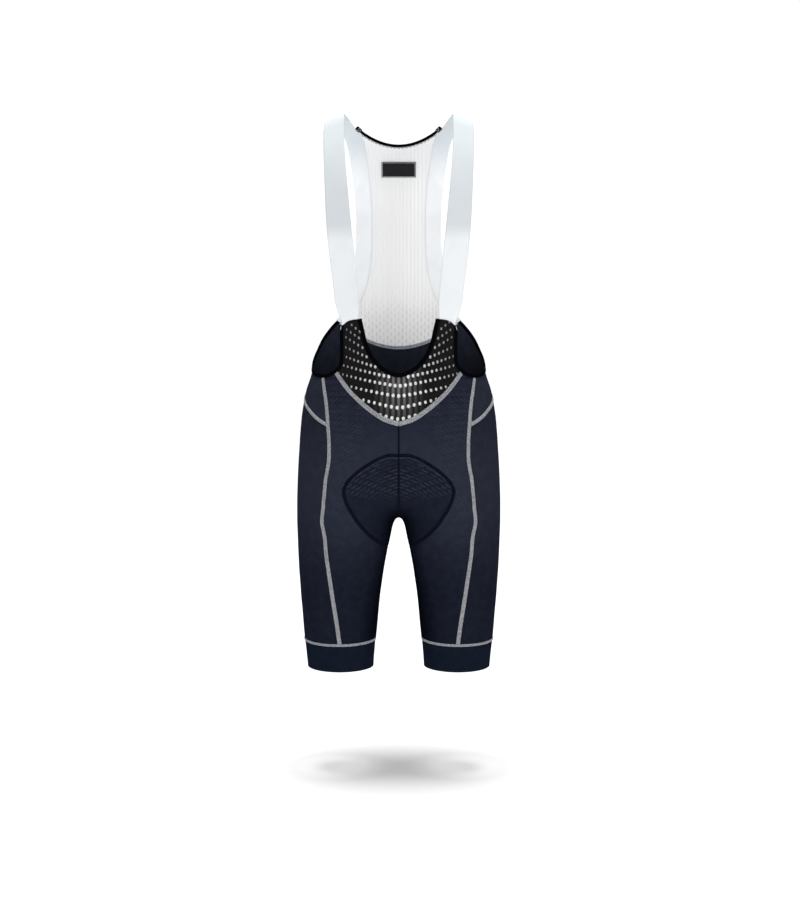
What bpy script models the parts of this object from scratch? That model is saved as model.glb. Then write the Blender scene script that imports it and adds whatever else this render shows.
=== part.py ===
"""Cycling bib shorts, filled out as when worn: each cut piece is a thin solid wall.

Metres, +Z up. The front faces -Y and the wearer's left is +X. The origin lies midway
between the straps, where they rest on top of the shoulders.
Run with: blender --background --python part.py
"""
import math
from collections import namedtuple

import bmesh
import bpy
from mathutils import Vector
from mathutils.geometry import delaunay_2d_cdt

MM = 0.001

# Walls and widths of the cut pieces
CLOTH = 1.2 * MM            # warp-knit shorts panels
MESH = 1.0 * MM             # back mesh, perforated front and its lining
STRAP = 1.2 * MM            # flat elastic strap
GRIPPER = 1.6 * MM          # doubled hem band
PAD = 7.0 * MM              # foam crotch pad
TAG = 0.8 * MM              # woven tag
SEAM_GAP = 0.3 * MM         # between neighbours along a seam
SIDE_BINDING = 6.0 * MM     # folded elastic along the side openings
NECK_BINDING = 7.0 * MM     # folded elastic along the front scoop
NAPE_BINDING = 5.0 * MM     # folded elastic along the back neck
BINDING_WALL = 2.4 * MM     # binding, folded over the cloth's edge
BINDING_PROUD = 0.6 * MM    # how far the binding stands out of the cloth
LINING_GAP = 0.8 * MM       # between the perforated front and its lining
PAD_GAP = 3.0 * MM          # between the pad and the panels that carry it
TAG_GAP = 1.0 * MM          # between the bib and its tag
BIB_EDGE_DROP = 8 * MM      # the strap's outer edge reaches the bib lower than its inner edge

# Heights
HEM_Z = -919 * MM           # bottom of the leg bands
HEM_SEAM_Z = -871 * MM      # top of the leg bands
CROTCH_Z = -667 * MM
SADDLE = 20 * MM            # half-width that rounds the crotch between the legs
SADDLE_FADE = 107 * MM      # height over which the two legs merge into one trunk

# The filled-out body of the shorts, one level section a row: half-width at the side,
# the leg's inner edge (negative once the legs have merged), the plane of the side line,
# front and back depth, and the exponent of the super-ellipse.
Section = namedtuple("Section", "z outer inner mid front back fullness")
BODY = [Section(*row) for row in (
    (-20, 150, -150, 0, -100, 66, 2.2),
    (-60, 152, -152, 0, -110, 86, 2.2),
    (-110, 154, -154, 0, -118, 98, 2.2),
    (-160, 154, -154, 0, -124, 101, 2.2),
    (-220, 150, -150, 0, -124, 94, 2.2),
    (-280, 145, -145, 0, -118, 84, 2.2),
    (-330, 142, -142, 0, -113, 78, 2.2),
    (-380, 141, -141, 0, -109, 77, 2.2),
    (-420, 144, -144, 0, -106, 84, 2.2),
    (-455, 154, -154, 0, -106, 97, 2.2),
    (-500, 162, -162, 0, -109, 113, 2.2),
    (-550, 166, -160, 0, -111, 123, 2.2),
    (-600, 169, -85, 0, -108, 124, 2.15),
    (-635, 170, -25, 0, -103, 116, 2.1),
    (-667, 170, 20, 0, -98, 103, 2.05),
    (-700, 169, 25, -1, -92, 91, 2.0),
    (-750, 167, 32, -2, -86, 81, 2.0),
    (-800, 164, 38, -2, -80, 73, 2.0),
    (-850, 160, 42, -2, -72, 66, 2.0),
    (-900, 155, 46, -2, -64, 60, 2.0),
    (-940, 151, 48, -2, -60, 56, 2.0),
)]

# Seams and edges. Front points are (x, z); points round the side are (turn, z), where
# turn is the angle about the body: 0 at the front, 90 at the side, 180 at the back.
FrontPoint = namedtuple("FrontPoint", "x z")
TurnPoint = namedtuple("TurnPoint", "turn z")
LONG_SEAM = [FrontPoint(*row) for row in (
    (124, -426.5), (120, -455), (117, -480), (115.5, -502), (114, -526), (115, -566),
    (120.5, -600), (124, -640), (122.5, -680), (119, -718), (110.5, -780), (103, -831),
    (98, -871),
)]
V_SEAM = [FrontPoint(*row) for row in (
    (0, -497), (24, -489), (47, -474), (68.5, -456), (87, -436.5), (102, -416.5),
)]
POCKET_EDGE = [FrontPoint(*row) for row in (
    (102, -416.5), (113, -423.5), (124, -426.5),
)]
FRONT_SIDE_EDGE = [FrontPoint(*row) for row in (
    (102, -416.5), (94.5, -408), (90.8, -396), (90.2, -380), (90.2, -360), (90.5, -337.5),
)]
STRAP_FOOT = [FrontPoint(*row) for row in (
    (90.5, -337.5), (83, -331), (74.5, -328), (66.2, -327),
)]
NECK_SCOOP = [FrontPoint(*row) for row in (
    (66.2, -327), (62, -346), (57.3, -366), (46, -391), (25.5, -412), (0, -421),
)]
YOKE_TOP = [TurnPoint(*row) for row in (
    (66, -426), (78, -423), (90, -418.5), (101, -405.5), (111, -392), (120, -375.5),
    (129.5, -358.5),
)]
HIP_SEAM = [TurnPoint(*row) for row in (
    (43.7, -502), (53, -493.5), (66, -480), (78, -471), (90, -464.5), (110, -456),
    (135, -449), (160, -449), (180, -452),
)]
YOKE_CORNER_X = 99.5        # where the side binding meets the back bib's seam
BIB_SEAM_DROP = -389        # lowest point of the bib's seam, at the centre back
BIB_SEAM_RISE = 0.0044      # its rise per square millimetre of distance from the centre

# Back bib: half-width of the mesh and of the whole bib, down its height
BibRow = namedtuple("BibRow", "z mesh edge")
BIB = [BibRow(*row) for row in (
    (-31, 62, 87.5), (-50, 57, 84), (-75, 53, 80), (-105, 49.5, 76), (-140, 46.5, 72.7),
    (-175, 45, 71.8), (-205, 45.3, 72.2), (-235, 46.3, 75), (-262, 49.5, 79.5),
    (-285, 55, 86.5), (-308, 63.5, 94.5), (-328, 77, 101.5),
)]
BIB_FOOT = BibRow(-342, 90, 105.8)
NAPE_DROP = 22              # how far the back neck dips below its ends

# Strap, from its foot over the shoulder to the bib's top corner
StrapRow = namedtuple("StrapRow", "in_x in_y in_z out_x out_y out_z")
STRAP_ROWS = [StrapRow(*row) for row in (
    (65, -110, -300, 101.5, -95, -305),
    (67.5, -114, -265, 106, -100, -270),
    (71.5, -119, -220, 111.5, -107, -224),
    (76.5, -121, -172, 115.8, -111, -176),
    (81, -118, -124, 118, -109, -129),
    (85, -108, -82, 119.6, -100, -89),
    (87.5, -91, -48, 121, -85, -57),
    (88.5, -66, -21, 121.7, -62, -32),
    (88.9, -34, -4, 121, -33, -16),
    (88.7, -2, 2, 119.8, -2, -10.5),
    (86, 27, -2, 113.5, 26, -14),
    (79.5, 48, -11, 104, 47, -23),
    (71.1, 61.1, -22.7, 94.5, 58, -32),
)]

# Perforations of the front mesh, on the cloth laid flat: a row's height at the centre
# front, its rise to the sides, where its middle hole sits and how far apart the holes are
HoleRow = namedtuple("HoleRow", "z rise middle pitch")
HOLE_ROWS = [HoleRow(*row) for row in (
    (-489, 0.31, -1.5, 8.9), (-470.5, 0.24, -2.4, 8.8), (-451.5, 0.19, 0, 8.7),
    (-435, 0.18, 2.7, 8.4), (-422.4, 0.205, -0.2, 8.1), (-413.5, 0.275, -1.6, 7.6),
    (-406.3, 0.37, -0.4, 7.8), (-402, 0.51, 0.1, 7.8), (-393.5, 0.57, -0.4, 7.6),
    (-391.5, 0.72, -0.4, 7.4),
)]
HOLE_WIDTH = 5.2            # at the centre front
HOLE_HEIGHT = 6.8
HOLE_SHRINK = 0.33          # how much smaller the outermost holes are
HOLE_SIDES = 6
HOLE_HEART = 0.85           # share of a hole in which the middles of its triangles fall
ROW_ROUND = 6               # half-width of the rounding of a row at the centre
MESH_HALF = 105             # half-width of the mesh, laid flat
HOLE_MARGIN = 0.7           # least cloth between a hole and the mesh's edge

# Crotch pad: half-width along its length, from its front end under to its back end
PadRow = namedtuple("PadRow", "along half")
PAD_TOP_Z = -548
PAD_ROWS = [PadRow(*row) for row in (
    (0, 18), (7, 35), (14, 47), (24, 62), (34, 74), (47, 86), (60, 91), (74, 87), (88, 80),
    (102, 72), (116, 66), (130, 63), (146, 60), (176, 57), (206, 60), (236, 73), (264, 84),
    (290, 78), (310, 56), (322, 28),
)]

# Middles of the openings, for telling one side of an edge from the other
SIDE_OPENING = Vector((135, -10, -360)) * MM
NECK_OPENING = Vector((0, -100, -300)) * MM
NAPE_OPENING = Vector((0, 60, 100)) * MM
CHEST_Z = -160 * MM

# Tag inside the back bib
TAG_WIDTH = 58
TAG_TOP = -77
TAG_BOTTOM = -103

FRONT_RADIUS = 0.148        # turns a front angle into a distance on the flat cloth
GIRTH_PER_DEGREE = FRONT_RADIUS * math.pi / 180

# Facets
FRONT_V_COLUMNS = 8
FRONT_POCKET_COLUMNS = 2
FRONT_COLUMNS = FRONT_V_COLUMNS + FRONT_POCKET_COLUMNS
YOKE_SIDE_COLUMNS = 10
BIB_COLUMNS = 6             # half of the bib
SIDE_COLUMNS = YOKE_SIDE_COLUMNS + BIB_COLUMNS + 1
NARROW = 0.2                # width of the columns beside a seam, in columns
YOKE_ROWS = 4
SEAM_ROWS = 20              # long seam, from the hip seam to the leg band
INSEAM_ROWS = 8
CROTCH_CROWDING = 1.3       # rows lie closer near the crotch
HEM_ROWS = 2
PAD_COLUMNS = 12
PAD_STEPS = 18
SCOOP_COLUMNS = 8
EDGE_COLUMNS = 6
STRAP_STEPS = 20
TAG_COLUMNS = 4
TAG_STEPS = 2
CURVE_STEPS = 12            # between two points of a curve
CENTRE_STEPS = 400          # along the centre line, before it is spaced evenly
SPINE_STEPS = 40            # along the centre line, for the pad
SHARPEST_PULL = 0.5         # limits how far a sharp corner is drawn back
SLOPE_STEP = 0.2 * MM
WALK_STEP = 4 * MM

Material = namedtuple("Material", "colour roughness")
NAVY = Material((0.012, 0.015, 0.028), 0.55)
HEM_NAVY = Material((0.008, 0.010, 0.018), 0.6)
BLACK = Material((0.012, 0.012, 0.013), 0.6)
WHITE_MESH = Material((0.80, 0.80, 0.79), 0.7)
WHITE_STRAP = Material((0.72, 0.76, 0.79), 0.6)
WHITE_LINING = Material((0.85, 0.85, 0.85), 0.8)
PAD_BLUE = Material((0.05, 0.06, 0.10), 0.9)


# ---------------------------------------------------------------- curves

def smooth(xs, ys, at):
    """Monotone cubic through (xs, ys), where xs falls."""
    last = len(xs) - 1
    index = 0
    while index < last - 1 and at < xs[index + 1]:
        index += 1
    slopes = [(ys[k + 1] - ys[k]) / (xs[k + 1] - xs[k]) for k in range(last)]

    def tangent(k):
        if k == 0 or k == last:
            return slopes[min(k, last - 1)]
        before, after = slopes[k - 1], slopes[k]
        if before * after <= 0:
            return 0.0
        return 2 * before * after / (before + after)

    span = xs[index + 1] - xs[index]
    t = (at - xs[index]) / span
    start = (2 * t ** 3 - 3 * t ** 2 + 1) * ys[index]
    start_slope = (t ** 3 - 2 * t ** 2 + t) * span * tangent(index)
    end = (3 * t ** 2 - 2 * t ** 3) * ys[index + 1]
    end_slope = (t ** 3 - t ** 2) * span * tangent(index + 1)
    return start + start_slope + end + end_slope


def spline(points, count):
    """count + 1 evenly spaced samples of the Catmull-Rom curve through the points."""
    fine = []
    for k in range(len(points) - 1):
        a, b = points[k], points[k + 1]
        before = points[k - 1] if k else a * 2 - b
        after = points[k + 2] if k + 2 < len(points) else b * 2 - a
        for step in range(CURVE_STEPS):
            t = step / CURVE_STEPS
            fine.append(0.5 * (2 * a + (b - before) * t
                               + (2 * before - 5 * a + 4 * b - after) * t ** 2
                               + (3 * a - before - 3 * b + after) * t ** 3))
    fine.append(points[-1].copy())
    return even(fine, count)


def even(points, count):
    """count + 1 samples at equal distances along a polyline."""
    lengths = [0.0]
    for a, b in zip(points, points[1:]):
        lengths.append(lengths[-1] + (b - a).length)
    samples = []
    k = 0
    for step in range(count + 1):
        goal = lengths[-1] * step / count
        while k < len(points) - 2 and lengths[k + 1] < goal:
            k += 1
        part = (goal - lengths[k]) / max(lengths[k + 1] - lengths[k], 1e-12)
        samples.append(points[k].lerp(points[k + 1], part))
    return samples


# ---------------------------------------------------------------- the body's form

HEIGHTS = [row.z * MM for row in BODY]
COLUMNS = {name: [getattr(row, name) for row in BODY] for name in Section._fields}


def section(z):
    """Half-length a, centre c, side plane, front and back depth, exponent, saddle."""
    outer, inner, mid, front, back = (
        smooth(HEIGHTS, COLUMNS[name], z) * MM for name in ("outer", "inner", "mid", "front", "back"))
    fullness = smooth(HEIGHTS, COLUMNS["fullness"], z)
    rise = min(1.0, max(0.0, (CROTCH_Z + SADDLE_FADE - z) / SADDLE_FADE))
    saddle = SADDLE * rise * rise * (3 - 2 * rise)
    reach = math.hypot(outer, saddle)
    return (reach - inner) / 2, (reach + inner) / 2, mid, mid - front, back - mid, fullness, saddle


def level(point):
    """Zero on the body's surface, below zero inside it."""
    a, c, mid, front, back, n, saddle = section(point.z)
    u = (math.hypot(point.x, saddle) - c) / a
    v = (point.y - mid) / (front if point.y < mid else back)
    return abs(u) ** n + abs(v) ** n - 1


def slope(point):
    """Gradient of level."""
    grad = Vector()
    for axis in range(3):
        shift = Vector()
        shift[axis] = SLOPE_STEP
        grad[axis] = (level(point + shift) - level(point - shift)) / (2 * SLOPE_STEP)
    return grad


def body(turn, z):
    """Point of the +X half at an angle about the leg and trunk."""
    a, c, mid, front, back, n, saddle = section(z)
    s, k = math.sin(math.radians(turn)), math.cos(math.radians(turn))
    scale = (abs(s) ** n + abs(k) ** n) ** (-1 / n)
    across = c + a * s * scale
    x = math.sqrt(max(across ** 2 - saddle ** 2, 0.0))
    y = mid - (front if k > 0 else back) * k * scale
    return Vector((x, y, z))


def turn_at(x, z, behind=False):
    """The angle of the surface point that is seen at (x, z) from the front or back."""
    a, c, _, _, _, n, saddle = section(z)
    u = (math.hypot(x, saddle) - c) / a
    depth = max(0.0, 1 - abs(u) ** n) ** (1 / n)
    turn = math.degrees(math.atan2(u, -depth if behind else depth))
    return turn + 360 if behind and turn < 0 else turn


def back_point(x, z):
    """Point of the back surface at a signed x."""
    point = body(turn_at(abs(x), z, behind=True), z)
    point.x = math.copysign(point.x, x)
    return point


def front_chart(rows):
    """(turn, z) of front points given in millimetres."""
    return [Vector((turn_at(row.x * MM, row.z * MM), row.z * MM)) for row in rows]


def turn_chart(rows):
    return [Vector((row.turn, row.z * MM)) for row in rows]


def sampled(rows, count):
    """Evenly spaced (turn, z) samples along a seam, measured on the cloth."""
    flat = [Vector((p.x * GIRTH_PER_DEGREE, p.y)) for p in rows]
    return [Vector((p.x / GIRTH_PER_DEGREE, p.y)) for p in spline(flat, count)]


def centre_line(top_z, count, behind):
    """(turn, z) down the centre front or back to the crotch, evenly spaced."""
    points = []
    for step in range(CENTRE_STEPS + 1):
        z = CROTCH_Z + (top_z - CROTCH_Z) * (1 - step / CENTRE_STEPS) ** 2
        turn = turn_at(0.0, z, behind)
        points.append((body(turn, z), turn, z))
    points[-1] = (body(-90, CROTCH_Z), 270 if behind else -90, CROTCH_Z)
    lengths = [0.0]
    for a, b in zip(points, points[1:]):
        lengths.append(lengths[-1] + (b[0] - a[0]).length)
    line = []
    k = 0
    for step in range(count + 1):
        goal = lengths[-1] * (1 - (1 - step / count) ** CROTCH_CROWDING)
        while k < len(points) - 2 and lengths[k + 1] < goal - 1e-9:
            k += 1
        line.append(Vector((points[k + 1][1], points[k + 1][2])))
    line[0] = Vector((points[0][1], points[0][2]))
    return line


# ---------------------------------------------------------------- cloth pieces

def cloth_grid(columns, rows, place):
    """An open sheet: a grid whose crossing (i, j) is put at place(i, j)."""
    bm = bmesh.new()
    bmesh.ops.create_grid(bm, x_segments=columns, y_segments=rows, size=0.5)
    for vert in bm.verts:
        i = round((vert.co.x + 0.5) * columns)
        j = round((vert.co.y + 0.5) * rows)
        vert.co = place(i, j)
    return bm


def trunk_core(point):
    return Vector((0.0, 0.0, point.z))


def leg_core(side):
    return lambda point: Vector((side * section(point.z)[1], 0.0, point.z))


def shoulder_core(point):
    return Vector((point.x, 0.0, CHEST_Z))


def face_out(bm, core):
    """Turn the faces away from the wearer."""
    bm.normal_update()
    outward = sum(face.normal.dot(face.calc_center_median() - core(face.calc_center_median()))
                  for face in bm.faces)
    if outward < 0:
        bmesh.ops.reverse_faces(bm, faces=bm.faces[:])
    bm.normal_update()


def pull_edges(bm, distance):
    """Draw every free edge back into its sheet."""
    pulls = {}
    for edge in bm.edges:
        if not edge.is_boundary:
            continue
        face = edge.link_faces[0]
        along = (edge.verts[1].co - edge.verts[0].co).normalized()
        inward = face.normal.cross(along)
        if inward.dot(face.calc_center_median() - edge.verts[0].co) < 0:
            inward = -inward
        for vert in edge.verts:
            pulls.setdefault(vert, []).append(inward)
    for vert, inwards in pulls.items():
        middle = sum(inwards, Vector()).normalized()
        vert.co += middle * distance / max(middle.dot(inwards[0]), SHARPEST_PULL)


def material_for(name, look):
    material = bpy.data.materials.new(name)
    material.use_nodes = True
    shader = material.node_tree.nodes["Principled BSDF"]
    shader.inputs["Base Color"].default_value = (*look.colour, 1.0)
    shader.inputs["Roughness"].default_value = look.roughness
    shader.inputs["Metallic"].default_value = 0.0
    return material


def sew(name, bm, wall, look, core, side=1):
    """Make the sheet an object with a wall towards the wearer."""
    if side < 0:
        bmesh.ops.scale(bm, vec=(-1, 1, 1), verts=bm.verts[:])
    bmesh.ops.remove_doubles(bm, verts=bm.verts[:], dist=0.01 * MM)
    face_out(bm, core)
    pull_edges(bm, SEAM_GAP / 2)
    mesh = bpy.data.meshes.new(name)
    bm.to_mesh(mesh)
    bm.free()
    mesh.shade_smooth()
    piece = bpy.data.objects.new(name, mesh)
    PARTS.objects.link(piece)
    piece.data.materials.append(material_for(name, look))
    walls = piece.modifiers.new("wall", "SOLIDIFY")
    walls.thickness = wall
    walls.offset = -1.0
    return piece


def coons(left, right, top, bottom):
    """Blend four edge lists of (turn, z) into one surface of (column, row)."""
    columns, rows = len(top) - 1, len(left) - 1

    def at(column, row):
        u, v = column / columns, row / rows
        across = level_start(left[row], right[row], u)
        down = between(top, column).lerp(between(bottom, column), v)
        corners = level_start(top[0], top[-1], u).lerp(level_start(bottom[0], bottom[-1], u), v)
        return across + down - corners

    return at


def level_start(start, end, u):
    """From start to end in (turn, z), leaving and arriving level, as the crotch needs."""
    ease = u * u * (3 - 2 * u)
    return Vector((start.x + (end.x - start.x) * u, start.y + (end.y - start.y) * ease))


def between(points, position):
    """The polyline's point at a fractional index."""
    k = min(int(position), len(points) - 2)
    return points[k].lerp(points[k + 1], position - k)


def seam_columns(count):
    """Column positions with a narrow one beside each seam, so that the walls meet square."""
    return [0, NARROW, *range(1, count), count - NARROW, count]


# ---------------------------------------------------------------- seams that pieces share

def seam_samples():
    """Every shared edge, sampled once, so that neighbours meet chord to chord."""
    seams = {}
    long_seam = front_chart(LONG_SEAM)
    junction = next(k for k, row in enumerate(LONG_SEAM) if row.z == HIP_SEAM[0].z)
    seams["long_upper"] = sampled(long_seam[:junction + 1], YOKE_ROWS)
    seams["long_lower"] = sampled(long_seam[junction:], SEAM_ROWS)
    seams["v"] = sampled(front_chart(V_SEAM), FRONT_V_COLUMNS)
    seams["pocket"] = sampled(front_chart(POCKET_EDGE), FRONT_POCKET_COLUMNS)
    seams["front_side"] = sampled(front_chart(FRONT_SIDE_EDGE), EDGE_COLUMNS)
    seams["foot"] = front_chart(STRAP_FOOT)
    scoop = front_chart(NECK_SCOOP)
    whole_scoop = scoop + [Vector((-point.x, point.y)) for point in reversed(scoop[:-1])]
    seams["scoop"] = sampled(whole_scoop, 2 * SCOOP_COLUMNS)[:SCOOP_COLUMNS + 1]
    rows = YOKE_ROWS + SEAM_ROWS
    inseam = []
    for step in range(1, INSEAM_ROWS + 1):
        down = (step / INSEAM_ROWS) ** CROTCH_CROWDING
        inseam.append(Vector((-90, CROTCH_Z + (HEM_SEAM_Z - CROTCH_Z) * down)))
    front = centre_line(V_SEAM[0].z * MM, rows - INSEAM_ROWS, behind=False)
    seams["centre_front"] = front + inseam
    back = centre_line(HIP_SEAM[-1].z * MM, SEAM_ROWS - INSEAM_ROWS, behind=True)
    seams["centre_back"] = back + [Vector((270, point.y)) for point in inseam]
    hem_turn = seams["long_lower"][-1].x
    seams["hem_front"] = hem_line(-90, hem_turn, FRONT_COLUMNS)
    seams["hem_side"] = hem_line(hem_turn, 270, SIDE_COLUMNS)
    corner = bib_seam_point(YOKE_CORNER_X)
    side = sampled([long_seam[0]] + turn_chart(YOKE_TOP) + [corner], YOKE_SIDE_COLUMNS)
    bib = [bib_seam_point(YOKE_CORNER_X)]
    for step in range(BIB_COLUMNS + 1):
        bib.append(bib_seam_point(BIB_FOOT.mesh * (1 - step / BIB_COLUMNS)))
    seams["yoke_side"] = side
    seams["bib"] = bib
    seams["hip"] = sampled(turn_chart(HIP_SEAM), SIDE_COLUMNS)
    return seams


def hem_line(start, end, count):
    return [Vector((start + (end - start) * step / count, HEM_SEAM_Z)) for step in range(count + 1)]


def bib_seam_z(x):
    return (BIB_SEAM_DROP + BIB_SEAM_RISE * x * x) * MM


def bib_seam_point(x):
    """(turn, z) of the bib's seam at a distance from the centre, in millimetres."""
    z = bib_seam_z(x)
    return Vector((turn_at(x * MM, z, behind=True), z))


# ---------------------------------------------------------------- shorts

def front_panel(seams, side, name):
    """Front of one leg, from the centre seam and inseam to the long seam."""
    left = seams["centre_front"]
    right = seams["long_upper"] + seams["long_lower"][1:]
    top = seams["v"] + seams["pocket"][1:]
    chart = coons(left, right, top, seams["hem_front"])
    columns = seam_columns(FRONT_COLUMNS)
    bm = cloth_grid(len(columns) - 1, YOKE_ROWS + SEAM_ROWS, lambda i, j: body(*chart(columns[i], j)))
    sew(name, bm, CLOTH, NAVY, leg_core(side), side)


def side_panel(seams, side, name):
    """Outside and back of one leg, from the long seam round to the inseam."""
    chart = coons(seams["long_lower"], seams["centre_back"], seams["hip"], seams["hem_side"])
    columns = seam_columns(SIDE_COLUMNS)
    bm = cloth_grid(len(columns) - 1, SEAM_ROWS, lambda i, j: body(*chart(columns[i], j)))
    sew(name, bm, CLOTH, NAVY, leg_core(side), side)


def leg_band(seams, side, name):
    """Closed elastic band round the end of one leg."""
    ring = seams["hem_front"] + seams["hem_side"][1:]

    def place(i, j):
        z = HEM_SEAM_Z + (HEM_Z - HEM_SEAM_Z) * j / HEM_ROWS
        return body(ring[i].x, z)

    bm = cloth_grid(len(ring) - 1, HEM_ROWS, place)
    sew(name, bm, GRIPPER, HEM_NAVY, leg_core(side), side)


def yoke(seams):
    """High back and hips in one piece, from one long seam round to the other."""
    top = seams["yoke_side"] + seams["bib"][1:]
    bottom = seams["hip"]
    half = len(top) - 1
    left = seams["long_upper"]
    right = [top[-1].lerp(bottom[-1], j / YOKE_ROWS) for j in range(YOKE_ROWS + 1)]
    chart = coons(left, right, top, bottom)

    def place(i, j):
        point = body(*chart(half - abs(i - half), j))
        if i > half:
            point.x = -point.x
        return point

    bm = cloth_grid(2 * half, YOKE_ROWS, place)
    sew("back_yoke", bm, CLOTH, NAVY, trunk_core)


# ---------------------------------------------------------------- perforated front

def mesh_outline(seams):
    """(turn, z) round the front mesh, with the -X half mirrored to negative turns."""
    half = (seams["v"] + seams["front_side"][1:] + seams["foot"][1:] + seams["scoop"][1:])
    mirrored = [Vector((-point.x, point.y)) for point in reversed(half[1:-1])]
    return half + mirrored


def front_body(turn, z):
    point = body(abs(turn), z)
    point.x = math.copysign(point.x, turn)
    return point


def edge_distance(point, outline):
    """Least distance from a chart point to the outline."""
    best = 1.0
    for a, b in zip(outline, outline[1:] + outline[:1]):
        along = b - a
        t = min(1.0, max(0.0, (point - a).dot(along) / along.length_squared))
        best = min(best, (point - a - along * t).length)
    return best


def inside_outline(point, outline):
    crossings = 0
    for a, b in zip(outline, outline[1:] + outline[:1]):
        if (a.y > point.y) != (b.y > point.y):
            crossings += point.x < a.x + (b.x - a.x) * (point.y - a.y) / (b.y - a.y)
    return crossings % 2 == 1


def hole_centres(flat):
    """Bowed rows of holes that clear the outline, on the flat cloth."""
    centres = []
    for row in HOLE_ROWS:
        count = math.ceil(MESH_HALF / row.pitch)
        for step in range(-count, count + 1):
            x = row.middle + step * row.pitch
            z = row.z + row.rise * (math.hypot(x, ROW_ROUND) - ROW_ROUND)
            centre = Vector((x, z)) * MM
            clear = (HOLE_HEIGHT / 2 * hole_size(centre) + HOLE_MARGIN) * MM
            if inside_outline(centre, flat) and edge_distance(centre, flat) > clear:
                centres.append(centre)
    return centres


def hole_size(centre):
    return 1 - HOLE_SHRINK * min(1.0, abs(centre.x) / (MESH_HALF * MM))


def in_hole(point, centre):
    """Whether the middle of a triangle lies in the hole round a centre."""
    offset = (point - centre) / (hole_size(centre) * MM / 2)
    return math.hypot(offset.x / HOLE_WIDTH, offset.y / HOLE_HEIGHT) < HOLE_HEART


def cut_sheet(flat, centres, cut):
    """Triangulate the outline, with a hole or just a point at each centre."""
    points = list(flat)
    edges = [(k, (k + 1) % len(flat)) for k in range(len(flat))]
    for centre in centres:
        if not cut:
            points.append(centre)
            continue
        first = len(points)
        size = hole_size(centre)
        for k in range(HOLE_SIDES):
            angle = 2 * math.pi * (k + 0.5) / HOLE_SIDES
            points.append(centre + Vector((HOLE_WIDTH / 2 * math.cos(angle),
                                           HOLE_HEIGHT / 2 * math.sin(angle))) * size * MM)
            edges.append((first + k, first + (k + 1) % HOLE_SIDES))
    verts, _, faces, *_ = delaunay_2d_cdt(points, edges, [], 1, 1e-7)
    bm = bmesh.new()
    made = [bm.verts.new(front_body(vert.x / GIRTH_PER_DEGREE, vert.y)) for vert in verts]
    for face in faces:
        middle = sum((verts[k] for k in face), Vector((0.0, 0.0))) / len(face)
        if not (cut and any(in_hole(middle, centre) for centre in centres)):
            bm.faces.new([made[k] for k in face])
    return bm


def front_mesh_and_lining(seams):
    """Perforated bib front, and the thin white layer sewn in behind it."""
    flat = [Vector((p.x * GIRTH_PER_DEGREE, p.y)) for p in mesh_outline(seams)]
    centres = hole_centres(flat)
    sew("front_mesh", cut_sheet(flat, centres, cut=True), MESH, BLACK, trunk_core)
    lining = cut_sheet(flat, centres[::2], cut=False)
    for vert in lining.verts:
        vert.co -= slope(vert.co).normalized() * (MESH + LINING_GAP)
    sew("front_lining", lining, MESH, WHITE_LINING, trunk_core)


# ---------------------------------------------------------------- bindings

def binding(path, width, middle, ends=(None, None)):
    """A folded edge strip on the side of a path on the body that faces the middle."""
    count = len(path) - 1
    free = []
    for k, point in enumerate(path):
        along = (path[min(k + 1, count)] - path[max(k - 1, 0)]).normalized()
        outward = slope(point).normalized()
        across = outward.cross(along).normalized()
        if across.dot(middle - point) < 0:
            across = -across
        free.append(point + across * width)
    free[0] = ends[0] or free[0]
    free[-1] = ends[1] or free[-1]

    def place(i, j):
        edge = path[i] if j == 0 else free[i]
        return edge + slope(path[i]).normalized() * BINDING_PROUD

    return cloth_grid(count, 1, place)


def side_binding(seams, side, name):
    """Binding of one side opening, from the strap's foot round to the bib's seam."""
    chart = (seams["front_side"][::-1] + seams["pocket"][1:] + seams["yoke_side"][1:])
    path = [body(*point) for point in chart]
    ends = (strap_foot_ends(seams)[1], body(*bib_seam_point(BIB_FOOT.edge)))
    bm = binding(path, SIDE_BINDING, SIDE_OPENING, ends)
    sew(name, bm, BINDING_WALL, BLACK, trunk_core, side)


def neck_binding(seams):
    half = seams["scoop"]
    chart = half + [Vector((-point.x, point.y)) for point in reversed(half[:-1])]
    path = [front_body(*point) for point in chart]
    end = strap_foot_ends(seams)[0]
    ends = (end, Vector((-end.x, end.y, end.z)))
    bm = binding(path, NECK_BINDING, NECK_OPENING, ends)
    sew("front_neck_binding", bm, BINDING_WALL, BLACK, trunk_core)


# ---------------------------------------------------------------- bib and straps

def nape_z(x):
    """Height of the back neck's cloth edge at a distance from the centre, in mm."""
    top = BIB[0]
    return (top.z - NAPE_DROP * (1 - (x / top.mesh) ** 2)) * MM


def back_bib():
    """Mesh between the straps, from the nape to the bib's seam."""
    rows = BIB + [BIB_FOOT]
    columns = 2 * BIB_COLUMNS
    foot_z = bib_seam_z(BIB_FOOT.mesh)

    def place(i, j):
        part = (i - BIB_COLUMNS) / BIB_COLUMNS
        x = part * rows[j].mesh
        edge_z = rows[j].z * MM if j < len(rows) - 1 else foot_z
        down = j / (len(rows) - 1)
        dip = (nape_z(part * BIB[0].mesh) - BIB[0].z * MM) * (1 - down)
        sag = (bib_seam_z(part * BIB_FOOT.mesh) - foot_z) * down ** 2
        return back_point(x * MM, edge_z + dip + sag)

    bm = cloth_grid(columns, len(rows) - 1, place)
    sew("back_bib", bm, MESH, WHITE_MESH, trunk_core)


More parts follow.
